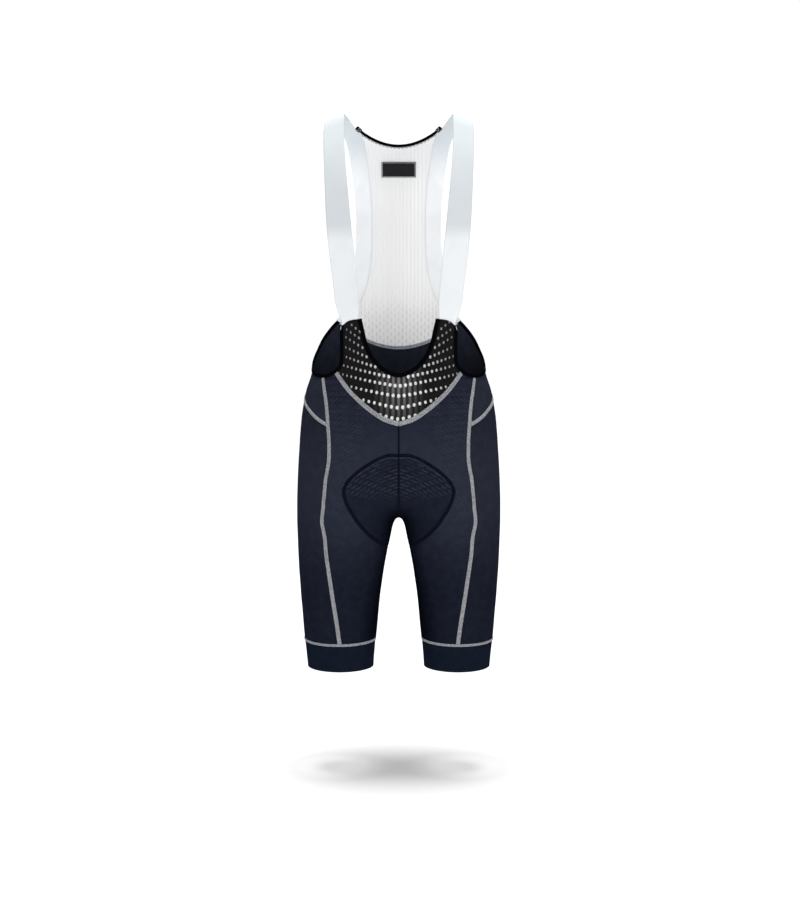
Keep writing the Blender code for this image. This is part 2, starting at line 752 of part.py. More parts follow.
def nape_binding():
    rows = []
    columns = 2 * BIB_COLUMNS
    for i in range(columns + 1):
        x = (i - BIB_COLUMNS) / BIB_COLUMNS * BIB[0].mesh
        rows.append(back_point(x * MM, nape_z(x)))
    end = STRAP_ROWS[-1]
    tip = Vector((end.in_x, end.in_y, end.in_z)) * MM
    path = [Vector((-tip.x, tip.y, tip.z))] + rows + [tip]
    bm = binding(path, NAPE_BINDING, NAPE_OPENING)
    sew("back_neck_binding", bm, BINDING_WALL, BLACK, trunk_core)


def strap(seams, side, name):
    """Elastic strap from the front mesh over the shoulder and down the bib's edge."""
    foot = [body(*point) for point in seams["foot"]]
    inner = [foot[-1]]
    outer = [foot[0]]
    for row in STRAP_ROWS:
        inner.append(Vector((row.in_x, row.in_y, row.in_z)) * MM)
        outer.append(Vector((row.out_x, row.out_y, row.out_z)) * MM)
    inner_curve = spline(inner, STRAP_STEPS)
    outer_curve = spline(outer, STRAP_STEPS)
    inner_curve[0], outer_curve[0] = strap_foot_ends(seams)
    for row in BIB:
        inner_curve.append(back_point(row.mesh * MM, row.z * MM))
        outer_curve.append(back_point(row.edge * MM, row.z * MM - BIB_EDGE_DROP))
    inner_curve.append(body(*bib_seam_point(BIB_FOOT.mesh)))
    outer_curve.append(body(*bib_seam_point(BIB_FOOT.edge)))
    ends = [inner_curve[0], foot[3], foot[2], foot[1], foot[0], outer_curve[0]]
    total = (ends[-1] - ends[0]).length
    shares = [(point - ends[0]).length / total for point in ends]

    def place(i, j):
        if j == 0:
            return ends[i]
        return inner_curve[j].lerp(outer_curve[j], shares[i])

    bm = cloth_grid(len(ends) - 1, len(inner_curve) - 1, place)
    sew(name, bm, STRAP, WHITE_STRAP, shoulder_core, side)


def strap_foot_ends(seams):
    """The strap's foot runs on over the ends of both bindings."""
    foot = [body(*point) for point in seams["foot"]]
    inner = foot[3] + (foot[3] - foot[2]).normalized() * NECK_BINDING
    outer = foot[0] + (foot[0] - foot[1]).normalized() * SIDE_BINDING
    return inner, outer


# ---------------------------------------------------------------- pad and tag

def walk(start, heading, distance):
    """Follow the body's surface straight ahead from a point."""
    point = start.copy()
    steps = max(1, math.ceil(distance / WALK_STEP))
    ahead = heading.copy()
    for _ in range(steps):
        outward = slope(point).normalized()
        ahead = (ahead - outward * ahead.dot(outward)).normalized()
        point = point + ahead * distance / steps
        for _ in range(2):
            grad = slope(point)
            point -= grad * level(point) / grad.length_squared
    return point


def pad_spine():
    """Points under the crotch along the centre line, each with its distance along."""
    front = [body(*p) for p in centre_line(PAD_TOP_Z * MM, SPINE_STEPS, behind=False)]
    back = [body(*p) for p in centre_line(HIP_SEAM[-1].z * MM, SPINE_STEPS, behind=True)]
    line = front + back[-2::-1]
    for point in line:
        point.x = 0.0
    return line


def point_along(line, distance):
    gone = 0.0
    for a, b in zip(line, line[1:]):
        step = (b - a).length
        if gone + step >= distance:
            return a.lerp(b, (distance - gone) / step)
        gone += step
    return line[-1]


def crotch_pad():
    """Foam pad inside the crotch, clear of the panels that carry it."""
    spine = pad_spine()
    half_columns = PAD_COLUMNS // 2
    along = [-row.along for row in PAD_ROWS]
    halves = [row.half for row in PAD_ROWS]

    def place(i, j):
        part = (i - half_columns) / half_columns
        distance = PAD_ROWS[-1].along * j / PAD_STEPS
        start = point_along(spine, distance * MM)
        reach = abs(part) * smooth(along, halves, -distance) * MM
        point = walk(start, Vector((1, 0, 0)), reach) if reach else start
        point -= slope(point).normalized() * (CLOTH + PAD_GAP)
        point.x = math.copysign(point.x, part)
        return point

    bm = cloth_grid(PAD_COLUMNS, PAD_STEPS, place)
    sew("crotch_pad", bm, PAD, PAD_BLUE, trunk_core)


def bib_tag():
    """Small tag on the inside of the bib, below the nape."""

    def place(i, j):
        x = TAG_WIDTH * (i / TAG_COLUMNS - 0.5)
        z = TAG_TOP + (TAG_BOTTOM - TAG_TOP) * j / TAG_STEPS
        point = back_point(x * MM, z * MM)
        return point - slope(point).normalized() * (MESH + TAG_GAP)

    sew("bib_tag", cloth_grid(TAG_COLUMNS, TAG_STEPS, place), TAG, BLACK, trunk_core)


# ---------------------------------------------------------------- whole garment

for old in list(bpy.data.objects):
    bpy.data.objects.remove(old, do_unlink=True)
PARTS = bpy.data.collections.new("cycling_bib_shorts")
bpy.context.scene.collection.children.link(PARTS)

SEAMS = seam_samples()
for side_sign, side_name in ((1, "left"), (-1, "right")):
    front_panel(SEAMS, side_sign, f"front_panel_{side_name}")
    side_panel(SEAMS, side_sign, f"side_panel_{side_name}")
    leg_band(SEAMS, side_sign, f"leg_band_{side_name}")
    side_binding(SEAMS, side_sign, f"side_binding_{side_name}")
    strap(SEAMS, side_sign, f"strap_{side_name}")
yoke(SEAMS)
front_mesh_and_lining(SEAMS)
neck_binding(SEAMS)
back_bib()
nape_binding()
crotch_pad()
bib_tag()
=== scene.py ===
"""Cycling bib shorts, dressed: knitted panels with flatlock seams, a perforated front over a
white lining, ribbed mesh bib, flat elastic straps, folded bindings and a moulded pad.

Metres, +Z up; tables of the garment's outlines are in millimetres. The front faces -Y and the
wearer's left is +X. A chart is a list of (turn, z) places on the body: degrees round, metres up.
"""

import math
from bisect import bisect_left
from collections import namedtuple

import bmesh
import bpy
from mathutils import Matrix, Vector, noise
from mathutils.geometry import delaunay_2d_cdt
from mathutils.kdtree import KDTree


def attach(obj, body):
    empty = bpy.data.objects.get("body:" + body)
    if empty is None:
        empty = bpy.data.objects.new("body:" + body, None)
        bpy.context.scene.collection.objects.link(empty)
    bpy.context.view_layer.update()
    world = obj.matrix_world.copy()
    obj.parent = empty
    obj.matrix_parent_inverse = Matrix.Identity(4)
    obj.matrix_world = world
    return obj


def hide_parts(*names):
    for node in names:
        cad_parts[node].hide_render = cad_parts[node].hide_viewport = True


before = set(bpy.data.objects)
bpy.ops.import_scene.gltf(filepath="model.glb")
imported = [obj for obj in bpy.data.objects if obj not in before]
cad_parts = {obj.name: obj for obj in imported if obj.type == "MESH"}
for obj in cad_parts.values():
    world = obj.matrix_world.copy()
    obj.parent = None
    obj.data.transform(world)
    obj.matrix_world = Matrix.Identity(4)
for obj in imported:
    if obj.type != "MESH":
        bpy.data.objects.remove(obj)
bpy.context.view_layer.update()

MM = 0.001

# ---------------------------------------------------------------- sizes

CLOTH = 1.0 * MM
MESH = 0.9 * MM
LINING = 0.5 * MM
STRAP = 1.2 * MM
GRIPPER = 1.5 * MM
TAG = 0.6 * MM
SIDE_BINDING = 6.0 * MM
NECK_BINDING = 7.0 * MM
NAPE_BINDING = 5.0 * MM
BINDING_WALL = 2.6 * MM
FOLD_STEPS = 6
FOLD_WAIST = 0.25           # how much thinner a binding is in the middle of its width
LINING_DEPTH = 1.8 * MM     # how far the lining lies behind the perforated front
PAD_DEPTH = 3.6 * MM        # how far the pad's outside lies behind the panels
TAG_DEPTH = 2.0 * MM
FOOT_LIFT = 1.6 * MM        # the strap's outer foot corner lies over the side binding
FOOT_DROP = 5.0 * MM
RIB_PITCH = 6.3 * MM
RIB_RISE = 0.35 * MM

HEM_Z = -919 * MM
HEM_SEAM_Z = -871 * MM
HEM_STITCH_Z = HEM_SEAM_Z - 1.0 * MM
CROTCH_Z = -667 * MM
FLOOR_Z = -1095 * MM
SADDLE = 20 * MM
SADDLE_FADE = 107 * MM


def listed(kind, *rows):
    return [kind(*row) for row in rows]


Section = namedtuple("Section", "z outer inner mid front back fullness")
BODY = listed(
    Section,
    (-20, 150, -150, 0, -100, 66, 2.2),
    (-60, 152, -152, 0, -110, 86, 2.2),
    (-110, 154, -154, 0, -118, 98, 2.2),
    (-160, 154, -154, 0, -124, 101, 2.2),
    (-220, 150, -150, 0, -124, 94, 2.2),
    (-280, 145, -145, 0, -118, 84, 2.2),
    (-330, 142, -142, 0, -113, 78, 2.2),
    (-380, 141, -141, 0, -109, 77, 2.2),
    (-420, 144, -144, 0, -106, 84, 2.2),
    (-455, 154, -154, 0, -106, 97, 2.2),
    (-500, 162, -162, 0, -109, 113, 2.2),
    (-550, 166, -160, 0, -111, 123, 2.2),
    (-600, 169, -85, 0, -108, 124, 2.15),
    (-635, 170, -25, 0, -103, 116, 2.1),
    (-667, 170, 20, 0, -98, 103, 2.05),
    (-700, 169, 25, -1, -92, 91, 2.0),
    (-750, 167, 32, -2, -86, 81, 2.0),
    (-800, 164, 38, -2, -80, 73, 2.0),
    (-850, 160, 42, -2, -72, 66, 2.0),
    (-900, 155, 46, -2, -64, 60, 2.0),
    (-940, 151, 48, -2, -60, 56, 2.0))

FrontPoint = namedtuple("FrontPoint", "x z")
TurnPoint = namedtuple("TurnPoint", "turn z")
LONG_SEAM = listed(
    FrontPoint, (124, -426.5), (120, -455), (117, -480), (115.5, -502), (114, -526), (115, -566),
    (120.5, -600), (124, -640), (122.5, -680), (119, -718), (110.5, -780), (103, -831), (98, -871))
V_SEAM = listed(
    FrontPoint, (0, -497), (24, -489), (47, -474), (68.5, -456), (87, -436.5), (102, -416.5))
POCKET_EDGE = listed(FrontPoint, (102, -416.5), (113, -423.5), (124, -426.5))
FRONT_SIDE_EDGE = listed(
    FrontPoint, (102, -416.5), (94.5, -408), (90.8, -396), (90.2, -380), (90.2, -360), (90.5, -337.5))
STRAP_FOOT = listed(FrontPoint, (90.5, -337.5), (83, -331), (74.5, -328), (66.2, -327))
NECK_SCOOP = listed(
    FrontPoint, (66.2, -327), (62, -346), (57.3, -366), (46, -391), (25.5, -412), (0, -421))
YOKE_TOP = listed(
    TurnPoint, (66, -426), (78, -423), (90, -418.5), (101, -405.5), (111, -392), (120, -375.5),
    (129.5, -358.5))
HIP_SEAM = listed(
    TurnPoint, (43.7, -502), (53, -493.5), (66, -480), (78, -471), (90, -464.5), (110, -456),
    (135, -449), (160, -449), (180, -452))
YOKE_CORNER_X = 99.5
BIB_SEAM_DROP = -389
BIB_SEAM_RISE = 0.0044

BibRow = namedtuple("BibRow", "z mesh edge")
BIB = listed(
    BibRow, (-31, 62, 87.5), (-50, 57, 84), (-75, 53, 80), (-105, 49.5, 76), (-140, 46.5, 72.7),
    (-175, 45, 71.8), (-205, 45.3, 72.2), (-235, 46.3, 75), (-262, 49.5, 79.5), (-285, 55, 86.5),
    (-308, 63.5, 94.5), (-328, 77, 101.5))
BIB_FOOT = BibRow(-342, 90, 105.8)
NAPE_DROP = 22
BIB_EDGE_DROP = 8

StrapRow = namedtuple("StrapRow", "inner outer")
STRAP_ROWS = listed(
    StrapRow,
    ((65, -110, -300), (101.5, -95, -305)),
    ((67.5, -114, -265), (106, -100, -270)),
    ((71.5, -119, -220), (111.5, -107, -224)),
    ((76.5, -121, -172), (115.8, -111, -176)),
    ((81, -118, -124), (118, -109, -129)),
    ((85, -108, -82), (119.6, -100, -89)),
    ((87.5, -91, -48), (121, -85, -57)),
    ((88.5, -66, -21), (121.7, -62, -32)),
    ((88.9, -34, -4), (121, -33, -16)),
    ((88.7, -2, 2), (119.8, -2, -10.5)),
    ((86, 27, -2), (113.5, 26, -14)),
    ((79.5, 48, -11), (104, 47, -23)),
    ((71.1, 61.1, -22.7), (94.5, 58, -32)))

HoleRow = namedtuple("HoleRow", "z rise middle pitch")
HOLE_ROWS = listed(
    HoleRow,
    (-489, 0.31, -1.5, 8.9), (-470.5, 0.24, -2.4, 8.8), (-451.5, 0.19, 0, 8.7),
    (-435, 0.18, 2.7, 8.4), (-422.4, 0.205, -0.2, 8.1), (-413.5, 0.275, -1.6, 7.6),
    (-406.3, 0.37, -0.4, 7.8), (-402, 0.51, 0.1, 7.8), (-393.5, 0.57, -0.4, 7.6),
    (-391.5, 0.72, -0.4, 7.4))
HOLE_WIDTH = 5.4
HOLE_HEIGHT = 7.2
HOLE_SHRINK = 0.36
HOLE_SIDES = 14
HOLE_HEART = 0.9
ROW_ROUND = 6
MESH_HALF = 105
HOLE_MARGIN = -1.2          # the outermost holes run in under the seam
HOLE_SURROUND = 1.25        # a second ring of corners round each hole
HOLE_CLEARANCE = 5.0 * MM
EDGE_CLEARANCE = 1.5 * MM
LATTICE = 4.0 * MM
LATTICE_ROWS = range(-125, -75)
LATTICE_STEPS = range(-28, 29)

PadRow = namedtuple("PadRow", "along half")
PAD_TOP_Z = -548
PAD_ROWS = listed(
    PadRow, (0, 18), (7, 35), (14, 47), (24, 62), (34, 74), (47, 86), (60, 91), (74, 87), (88, 80),
    (102, 72), (116, 66), (130, 63), (146, 60), (176, 57), (206, 60), (236, 73), (264, 84),
    (290, 78), (310, 56), (322, 28))
PAD_LENGTH = PAD_ROWS[-1].along
PAD_RIM = 1.6 * MM
PAD_CUSHION = 5.6 * MM

TAG_WIDTH = 58
TAG_TOP = -77
TAG_BOTTOM = -103
TAG_STITCH_INSET = 1.3
TAG_STITCH = 2.0

# A seam is a low ribbon with one thread, or two threads out of step by phase, that cross it.
Seam = namedtuple("Seam", "width height cross pitch lift phase thread")


def flat_seam(width, height=0.7, pitch=1.5):
    return Seam(width, height, width * 0.92, pitch, height - 0.15, 0.3, 0.3)


LONG_STITCH = flat_seam(6.8)
HIP_STITCH = flat_seam(6.0)
V_STITCH = flat_seam(7.6)
INSEAM_STITCH = flat_seam(3.4, 0.5, 1.8)
COVER_STITCH = flat_seam(2.6, 0.6, 1.3)
HEM_STITCH = Seam(4.6, 0.7, 4.2, 1.5, 0.55, 0.3, 0.3)
CENTRE_STITCH = Seam(2.6, 0.5, 2.6, 1.8, 0.3, None, 0.3)
ROPE_STITCH = Seam(5.4, 0.7, 5.2, 3.0, 0.7, 0.5, 0.55)
THREAD_STEP = 0.05          # how much higher the second thread lies
THREAD_RISE = 0.25 * MM     # how much higher a thread lies by the seam's middle than at its edge
THREAD_MIDDLE = 0.1         # how far from the middle that is, as a share of the seam's width
COVER_RISE = 1.7 * MM
BED_LIFT = 0.2 * MM
EDGE_THREAD = 0.28 * MM
EDGE_STEPS = 160

# The picot edge of the nape's binding, and the bar tacks at its ends
TACK_THREAD = 0.5 * MM
PICOT_HALF = 2.4 * MM
PICOT_DROP = 2.3 * MM
PICOT_START = 0.8 * MM
PICOT_GAP = 1.1 * MM
TACK_PLACE = 0.42           # across the binding, as a share of its width
TACK_TURNS = 11
TACK_CORNERS = 12
TACK_HALF = 3.6 * MM
TACK_DEPTH = 2.0 * MM
SPECK_LIFT = 2.45 * MM
SPECK_PLACES = ((0.6, -2.2), (1.6, 1.4), (3.6, -0.8), (5.6, 2.0), (6.4, -1.9))

FRONT_RADIUS = 0.148
GIRTH_PER_DEGREE = FRONT_RADIUS * math.pi / 180
LEG_SHARE = 0.4             # the leg's radius at the hem against the front's

# Columns and rows of the dressed sheets
V_COLUMNS = 32
POCKET_COLUMNS = 8
FRONT_COLUMNS = V_COLUMNS + POCKET_COLUMNS
YOKE_SIDE_COLUMNS = 32
YOKE_BACK_COLUMNS = 28
SIDE_COLUMNS = YOKE_SIDE_COLUMNS + YOKE_BACK_COLUMNS
YOKE_ROWS = 16
SEAM_ROWS = 72
INSEAM_ROWS = 32
CROTCH_CROWDING = 1.3
HEM_ROWS = 16
HEM_SAMPLES = 200
SCOOP_COLUMNS = 40
FRONT_SIDE_COLUMNS = 24
FOOT_COLUMNS = 12
BIB_SHEET_COLUMNS = 174
BIB_SHEET_ROWS = 110
STRAP_COLUMNS = 20
STRAP_STEPS = 8
STRAP_EASINGS = 60
PAD_COLUMNS = 36
PAD_STEPS = 72
PAD_EDGE_STEPS = 120
TAG_COLUMNS = 12
TAG_ROWS = 6
CURVE_STEPS = 12
ROUTE_PITCH = 2.0 * MM
BINDING_PITCH = 2.5 * MM
NAPE_PITCH = 2.2 * MM
CENTRE_STEPS = 400
SPINE_STEPS = 60
WALK_STEP = 4 * MM

UP = Vector((0, 0, 1))
ACROSS = Vector((1, 0, 0))
SIDE_OPENING = Vector((0.135, -0.01, -0.36))    # a point in the opening above the hip
SHOULDER_CORE_Z = -0.16


# ---------------------------------------------------------------- curves

def smooth(xs, ys, at):
    """Monotone cubic through (xs, ys), where xs falls."""
    last = len(xs) - 1
    index = 0
    while index < last - 1 and at < xs[index + 1]:
        index += 1
    slopes = [(ys[k + 1] - ys[k]) / (xs[k + 1] - xs[k]) for k in range(last)]

    def tangent(k):
        if k == 0 or k == last:
            return slopes[min(k, last - 1)]
        before, after = slopes[k - 1], slopes[k]
        if before * after <= 0:
            return 0.0
        return 2 * before * after / (before + after)

    span = xs[index + 1] - xs[index]
    t = (at - xs[index]) / span
    start = (2 * t ** 3 - 3 * t ** 2 + 1) * ys[index]
    start_slope = (t ** 3 - 2 * t ** 2 + t) * span * tangent(index)
    end = (3 * t ** 2 - 2 * t ** 3) * ys[index + 1]
    end_slope = (t ** 3 - t ** 2) * span * tangent(index + 1)
    return start + start_slope + end + end_slope


def curve_through(points, steps):
    """The Catmull-Rom curve through the points, with that many steps to a span."""
    fine = []
    for k in range(len(points) - 1):
        a, b = points[k], points[k + 1]
        before = points[k - 1] if k else a * 2 - b
        after = points[k + 2] if k + 2 < len(points) else b * 2 - a
        for step in range(steps):
            t = step / steps
            fine.append(0.5 * (2 * a + (b - before) * t
                               + (2 * before - 5 * a + 4 * b - after) * t ** 2
                               + (3 * a - before - 3 * b + after) * t ** 3))
    return fine + [points[-1].copy()]


def run_lengths(points):
    """The distance gone at each point of a polyline."""
    lengths = [0.0]
    for a, b in zip(points, points[1:]):
        lengths.append(lengths[-1] + (b - a).length)
    return lengths


def stretch_at(lengths, goal):
    """The span of a polyline that a distance falls in, and how far along it."""
    k = min(bisect_left(lengths, goal, 1), len(lengths) - 1) - 1
    return k, (goal - lengths[k]) / max(lengths[k + 1] - lengths[k], 1e-12)


def even(points, count):
    """count + 1 samples at equal distances along a polyline."""
    lengths = run_lengths(points)
    samples = []
    for step in range(count + 1):
        k, part = stretch_at(lengths, lengths[-1] * step / count)
        samples.append(points[k].lerp(points[k + 1], part))
    return samples


def every(points, pitch):
    """The polyline resampled at about that pitch."""
    return even(points, max(2, round(run_lengths(points)[-1] / pitch)))


def ease(t):
    return t * t * (3 - 2 * t)


# ---------------------------------------------------------------- the body's form

SECTION_STEP = 0.5 * MM
TOP_Z = 0.010
BOTTOM_Z = -0.945
HEIGHTS = [row.z * MM for row in BODY]
COLUMNS = {name: [getattr(row, name) for row in BODY] for name in Section._fields}


def measure_section(z):
    """Half-length a, centre c, side plane, front and back depth, exponent, saddle."""
    outer, inner, mid, front, back = (
        smooth(HEIGHTS, COLUMNS[name], z) * MM for name in ("outer", "inner", "mid", "front", "back"))
    fullness = smooth(HEIGHTS, COLUMNS["fullness"], z)
    saddle = SADDLE * ease(min(1.0, max(0.0, (CROTCH_Z + SADDLE_FADE - z) / SADDLE_FADE)))
    reach = math.hypot(outer, saddle)
    return (reach - inner) / 2, (reach + inner) / 2, mid, mid - front, back - mid, fullness, saddle


SECTIONS = [measure_section(TOP_Z - k * SECTION_STEP)
            for k in range(int((TOP_Z - BOTTOM_Z) / SECTION_STEP) + 2)]


def section(z):
    """The measured section at a height."""
    position = min(max((TOP_Z - z) / SECTION_STEP, 0.0), len(SECTIONS) - 1.001)
    k = int(position)
    t = position - k
    return [a + (b - a) * t for a, b in zip(SECTIONS[k], SECTIONS[k + 1])]


def level(point):
    """Zero on the body's surface, below zero inside it."""
    a, c, mid, front, back, n, saddle = section(point.z)
    u = (math.hypot(point.x, saddle) - c) / a
    v = (point.y - mid) / (front if point.y < mid else back)
    return abs(u) ** n + abs(v) ** n - 1


def slope(point):
    """Gradient of level."""
    step = 0.5 * MM
    grad = Vector()
    for axis in range(3):
        shift = Vector()
        shift[axis] = step
        grad[axis] = (level(point + shift) - level(point - shift)) / (2 * step)
    return grad


def outward(point):
    return slope(point).normalized()


def body(turn, z):
    """Point of the +X half at an angle about the leg and trunk."""
    a, c, mid, front, back, n, saddle = section(z)
    s, k = math.sin(math.radians(turn)), math.cos(math.radians(turn))
    scale = (abs(s) ** n + abs(k) ** n) ** (-1 / n)
    across = c + a * s * scale
    x = math.sqrt(max(across ** 2 - saddle ** 2, 0.0))
    y = mid - (front if k > 0 else back) * k * scale
    return Vector((x, y, z))


def turn_at(x, z, behind=False):
    """The angle of the surface point that is seen at (x, z) from the front or back."""
    a, c, _, _, _, n, saddle = section(z)
    u = (math.hypot(x, saddle) - c) / a
    depth = max(0.0, 1 - abs(u) ** n) ** (1 / n)
    turn = math.degrees(math.atan2(u, -depth if behind else depth))
    return turn + 360 if behind and turn < 0 else turn


def back_point(x, z):
    """Point of the back surface at a signed x and a height, both in millimetres."""
    point = body(turn_at(abs(x) * MM, z * MM, behind=True), z * MM)
    point.x = math.copysign(point.x, x)
    return point


def front_body(turn, z):
    """Point of either half, by a signed angle from the centre front."""
    point = body(abs(turn), z)
    point.x = math.copysign(point.x, turn)
    return point


def front_chart(rows):
    return [Vector((turn_at(row.x * MM, row.z * MM), row.z * MM)) for row in rows]


def turn_chart(rows):
    return [Vector((row.turn, row.z * MM)) for row in rows]


def mirrored(chart):
    return [Vector((-point.x, point.y)) for point in reversed(chart)]


def unrolled(chart):
    """The chart on flat cloth, in metres both ways."""
    return [Vector((point.x * GIRTH_PER_DEGREE, point.y)) for point in chart]


def sampled(chart, count):
    """count + 1 samples along a seam, evenly spaced on the cloth."""
    flat = even(curve_through(unrolled(chart), CURVE_STEPS), count)
    return [Vector((point.x / GIRTH_PER_DEGREE, point.y)) for point in flat]


def fine_chart(chart, pitch):
    """The chart resampled at about that pitch on the cloth."""
    length = run_lengths([body(abs(point.x), point.y) for point in chart])[-1]
    return sampled(chart, max(4, round(length / pitch)))


def centre_line(top_z, count, behind):
    """The chart down the centre front or back, its samples closer together by the crotch."""
    points = []
    for step in range(CENTRE_STEPS):
        z = CROTCH_Z + (top_z - CROTCH_Z) * (1 - step / CENTRE_STEPS) ** 2
        points.append((turn_at(0.0, z, behind), z))
    points.append((270 if behind else -90, CROTCH_Z))
    lengths = run_lengths([body(*point) for point in points])
    line = [Vector(points[0])]
    for step in range(1, count + 1):
        goal = lengths[-1] * (1 - (1 - step / count) ** CROTCH_CROWDING)
        line.append(Vector(points[stretch_at(lengths, goal - 1e-9)[0] + 1]))
    return line


def walk(start, distance):
    """Follow the body's surface straight across, towards +X, from a point."""
    point = start.copy()
    steps = max(1, math.ceil(distance / WALK_STEP))
    ahead = ACROSS
    for _ in range(steps):
        out = outward(point)
        ahead = (ahead - out * ahead.dot(out)).normalized()
        point = point + ahead * distance / steps
        for _ in range(2):
            grad = slope(point)
            point -= grad * level(point) / grad.length_squared
    return point


# ---------------------------------------------------------------- seams that pieces share

def hem_line(start, end, count):
    return [Vector((start + (end - start) * step / count, HEM_SEAM_Z)) for step in range(count + 1)]


def bib_seam_z(x):
    """Height of the bib's seam at a distance from the centre, both in millimetres."""
    return BIB_SEAM_DROP + BIB_SEAM_RISE * x * x


def bib_seam_point(x):
    z = bib_seam_z(x) * MM
    return Vector((turn_at(x * MM, z, behind=True), z))


def seam_samples():
    """The charts of every shared edge, sampled once."""
    seams = {}
    long_seam = front_chart(LONG_SEAM)
    junction = next(k for k, row in enumerate(LONG_SEAM) if row.z == HIP_SEAM[0].z)
    seams["long_upper"] = sampled(long_seam[:junction + 1], YOKE_ROWS)
    seams["long_lower"] = sampled(long_seam[junction:], SEAM_ROWS)
    seams["v"] = sampled(front_chart(V_SEAM), V_COLUMNS)
    seams["pocket"] = sampled(front_chart(POCKET_EDGE), POCKET_COLUMNS)
    seams["front_side"] = sampled(front_chart(FRONT_SIDE_EDGE), FRONT_SIDE_COLUMNS)
    seams["foot"] = sampled(front_chart(STRAP_FOOT), FOOT_COLUMNS)
    scoop = front_chart(NECK_SCOOP)
    seams["scoop"] = sampled(scoop + mirrored(scoop[:-1]), 2 * SCOOP_COLUMNS)[:SCOOP_COLUMNS + 1]
    inseam = [CROTCH_Z + (HEM_SEAM_Z - CROTCH_Z) * (step / INSEAM_ROWS) ** CROTCH_CROWDING
              for step in range(1, INSEAM_ROWS + 1)]
    front = centre_line(V_SEAM[0].z * MM, YOKE_ROWS + SEAM_ROWS - INSEAM_ROWS, behind=False)
    back = centre_line(HIP_SEAM[-1].z * MM, SEAM_ROWS - INSEAM_ROWS, behind=True)
    seams["centre_front"] = front + [Vector((-90, z)) for z in inseam]
    seams["centre_back"] = back + [Vector((270, z)) for z in inseam]
    seams["inseam"] = seams["centre_front"][-INSEAM_ROWS - 1:]
    hem_turn = seams["long_lower"][-1].x
    seams["hem_front"] = hem_line(-90, hem_turn, FRONT_COLUMNS)
    seams["hem_side"] = hem_line(hem_turn, 270, SIDE_COLUMNS)
    corner = bib_seam_point(YOKE_CORNER_X)
    seams["yoke_side"] = sampled([long_seam[0]] + turn_chart(YOKE_TOP) + [corner], YOKE_SIDE_COLUMNS)
    seams["bib"] = [bib_seam_point(YOKE_CORNER_X * (1 - step / YOKE_BACK_COLUMNS))
                    for step in range(YOKE_BACK_COLUMNS + 1)]
    seams["hip"] = sampled(turn_chart(HIP_SEAM), SIDE_COLUMNS)
    return seams


# ---------------------------------------------------------------- creases

CROTCH_CREASE_Z = -0.655
PUCKER_RADIUS = 17 * MM
SEAM_DIP_WIDTH = 3.5 * MM
PAD_TREE = None
PAD_AWAY = []


def bell(distance, width):
    return math.exp(-(distance / width) ** 2)


def crease(point):
    """How far the cloth stands out of the smooth form, in metres."""
    drift = noise.noise(point * 14) * 0.5 + noise.noise(point * 37 + Vector((5, 1, 2))) * 0.25
    side = abs(point.x)
    above = point.z - CROTCH_CREASE_Z
    pucker = bell(math.hypot(side - 4 * MM, above * 0.8), PUCKER_RADIUS)
    gather = 0.8 * pucker * math.sin(math.atan2(above, side + 2 * MM) * 7 + 0.8)
    if PAD_TREE:
        _, _, distance = PAD_TREE.find(Vector((side, point.y, point.z)))
        drift -= 0.9 * bell(distance, SEAM_DIP_WIDTH)
    return (drift + gather) * MM


def pad_depth(point):
    """How far inside the pad's outline a point lies, in metres, and negative outside it."""
    spot = Vector((abs(point.x), point.y, point.z))
    near, index, distance = PAD_TREE.find(spot)
    return -distance if (spot - near).dot(PAD_AWAY[index]) > 0 else distance


def skin(point, extra=0.0):
    """A point of the form, moved out by its crease and a bit more."""
    return point + outward(point) * (crease(point) + extra)


# ---------------------------------------------------------------- making pieces

def placed(name, data):
    """The data as an object in the scene."""
    holder = bpy.data.objects.new(name, data)
    bpy.context.scene.collection.objects.link(holder)
    return holder


def shown(name, bm, look):
    """The bmesh as a smooth object in one finish."""
    mesh = bpy.data.meshes.new(name)
    bm.to_mesh(mesh)
    bm.free()
    mesh.shade_smooth()
    mesh.materials.append(look)
    return placed(name, mesh)


def finished(name, bm, node, look, wall=0.0):
    """The bmesh as a piece, which stands for a CAD node where one is named."""
    piece = shown(name, bm, look)
    if wall:
        walls = piece.modifiers.new("wall", "SOLIDIFY")
        walls.thickness = wall
        walls.offset = -1.0
        walls.use_even_offset = False
    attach(piece, "root")
    if node:
        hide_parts(node)
    return piece


def cloth_grid(columns, rows, place, side=1, around=False):
    """An open sheet: crossing (i, j) is put at place(i, j), which gives a point and its
    place on the flat cloth; around joins the last column to the first."""
    bm = bmesh.new()
    bmesh.ops.create_grid(bm, x_segments=columns, y_segments=rows, size=0.5)
    flat = bm.verts.layers.float_vector.new("cloth")
    for vert in bm.verts:
        i = round((vert.co.x + 0.5) * columns)
        j = round((vert.co.y + 0.5) * rows)
        vert.co, vert[flat] = place(i, j)
    if side < 0:
        bmesh.ops.scale(bm, vec=(-1, 1, 1), verts=bm.verts[:])
    if around:
        bmesh.ops.remove_doubles(bm, verts=bm.verts[:], dist=0.01 * MM)
    return bm


def face_away(bm, core):
    """Turn the faces away from a point that depends on the face's middle."""
    bm.normal_update()
    middles = [(face.normal, face.calc_center_median()) for face in bm.faces]
    if sum(normal.dot(middle - core(middle)) for normal, middle in middles) < 0:
        bmesh.ops.reverse_faces(bm, faces=bm.faces[:])
    bm.normal_update()


def sheet(node, columns, rows, place, core, look, wall, side=1, around=False, kind="cloth"):
    """A sheet that stands for a CAD node, faced away from its core."""
    bm = cloth_grid(columns, rows, place, side, around)
    face_away(bm, core)
    return finished(f"{node}_{kind}", bm, node, look, wall)


def trunk_core(point):
    return Vector((0.0, 0.0, point.z))


def leg_core(side):
    return lambda point: Vector((side * section(point.z)[1], 0.0, point.z))


def shoulder_core(point):
    return Vector((point.x, 0.0, SHOULDER_CORE_Z))


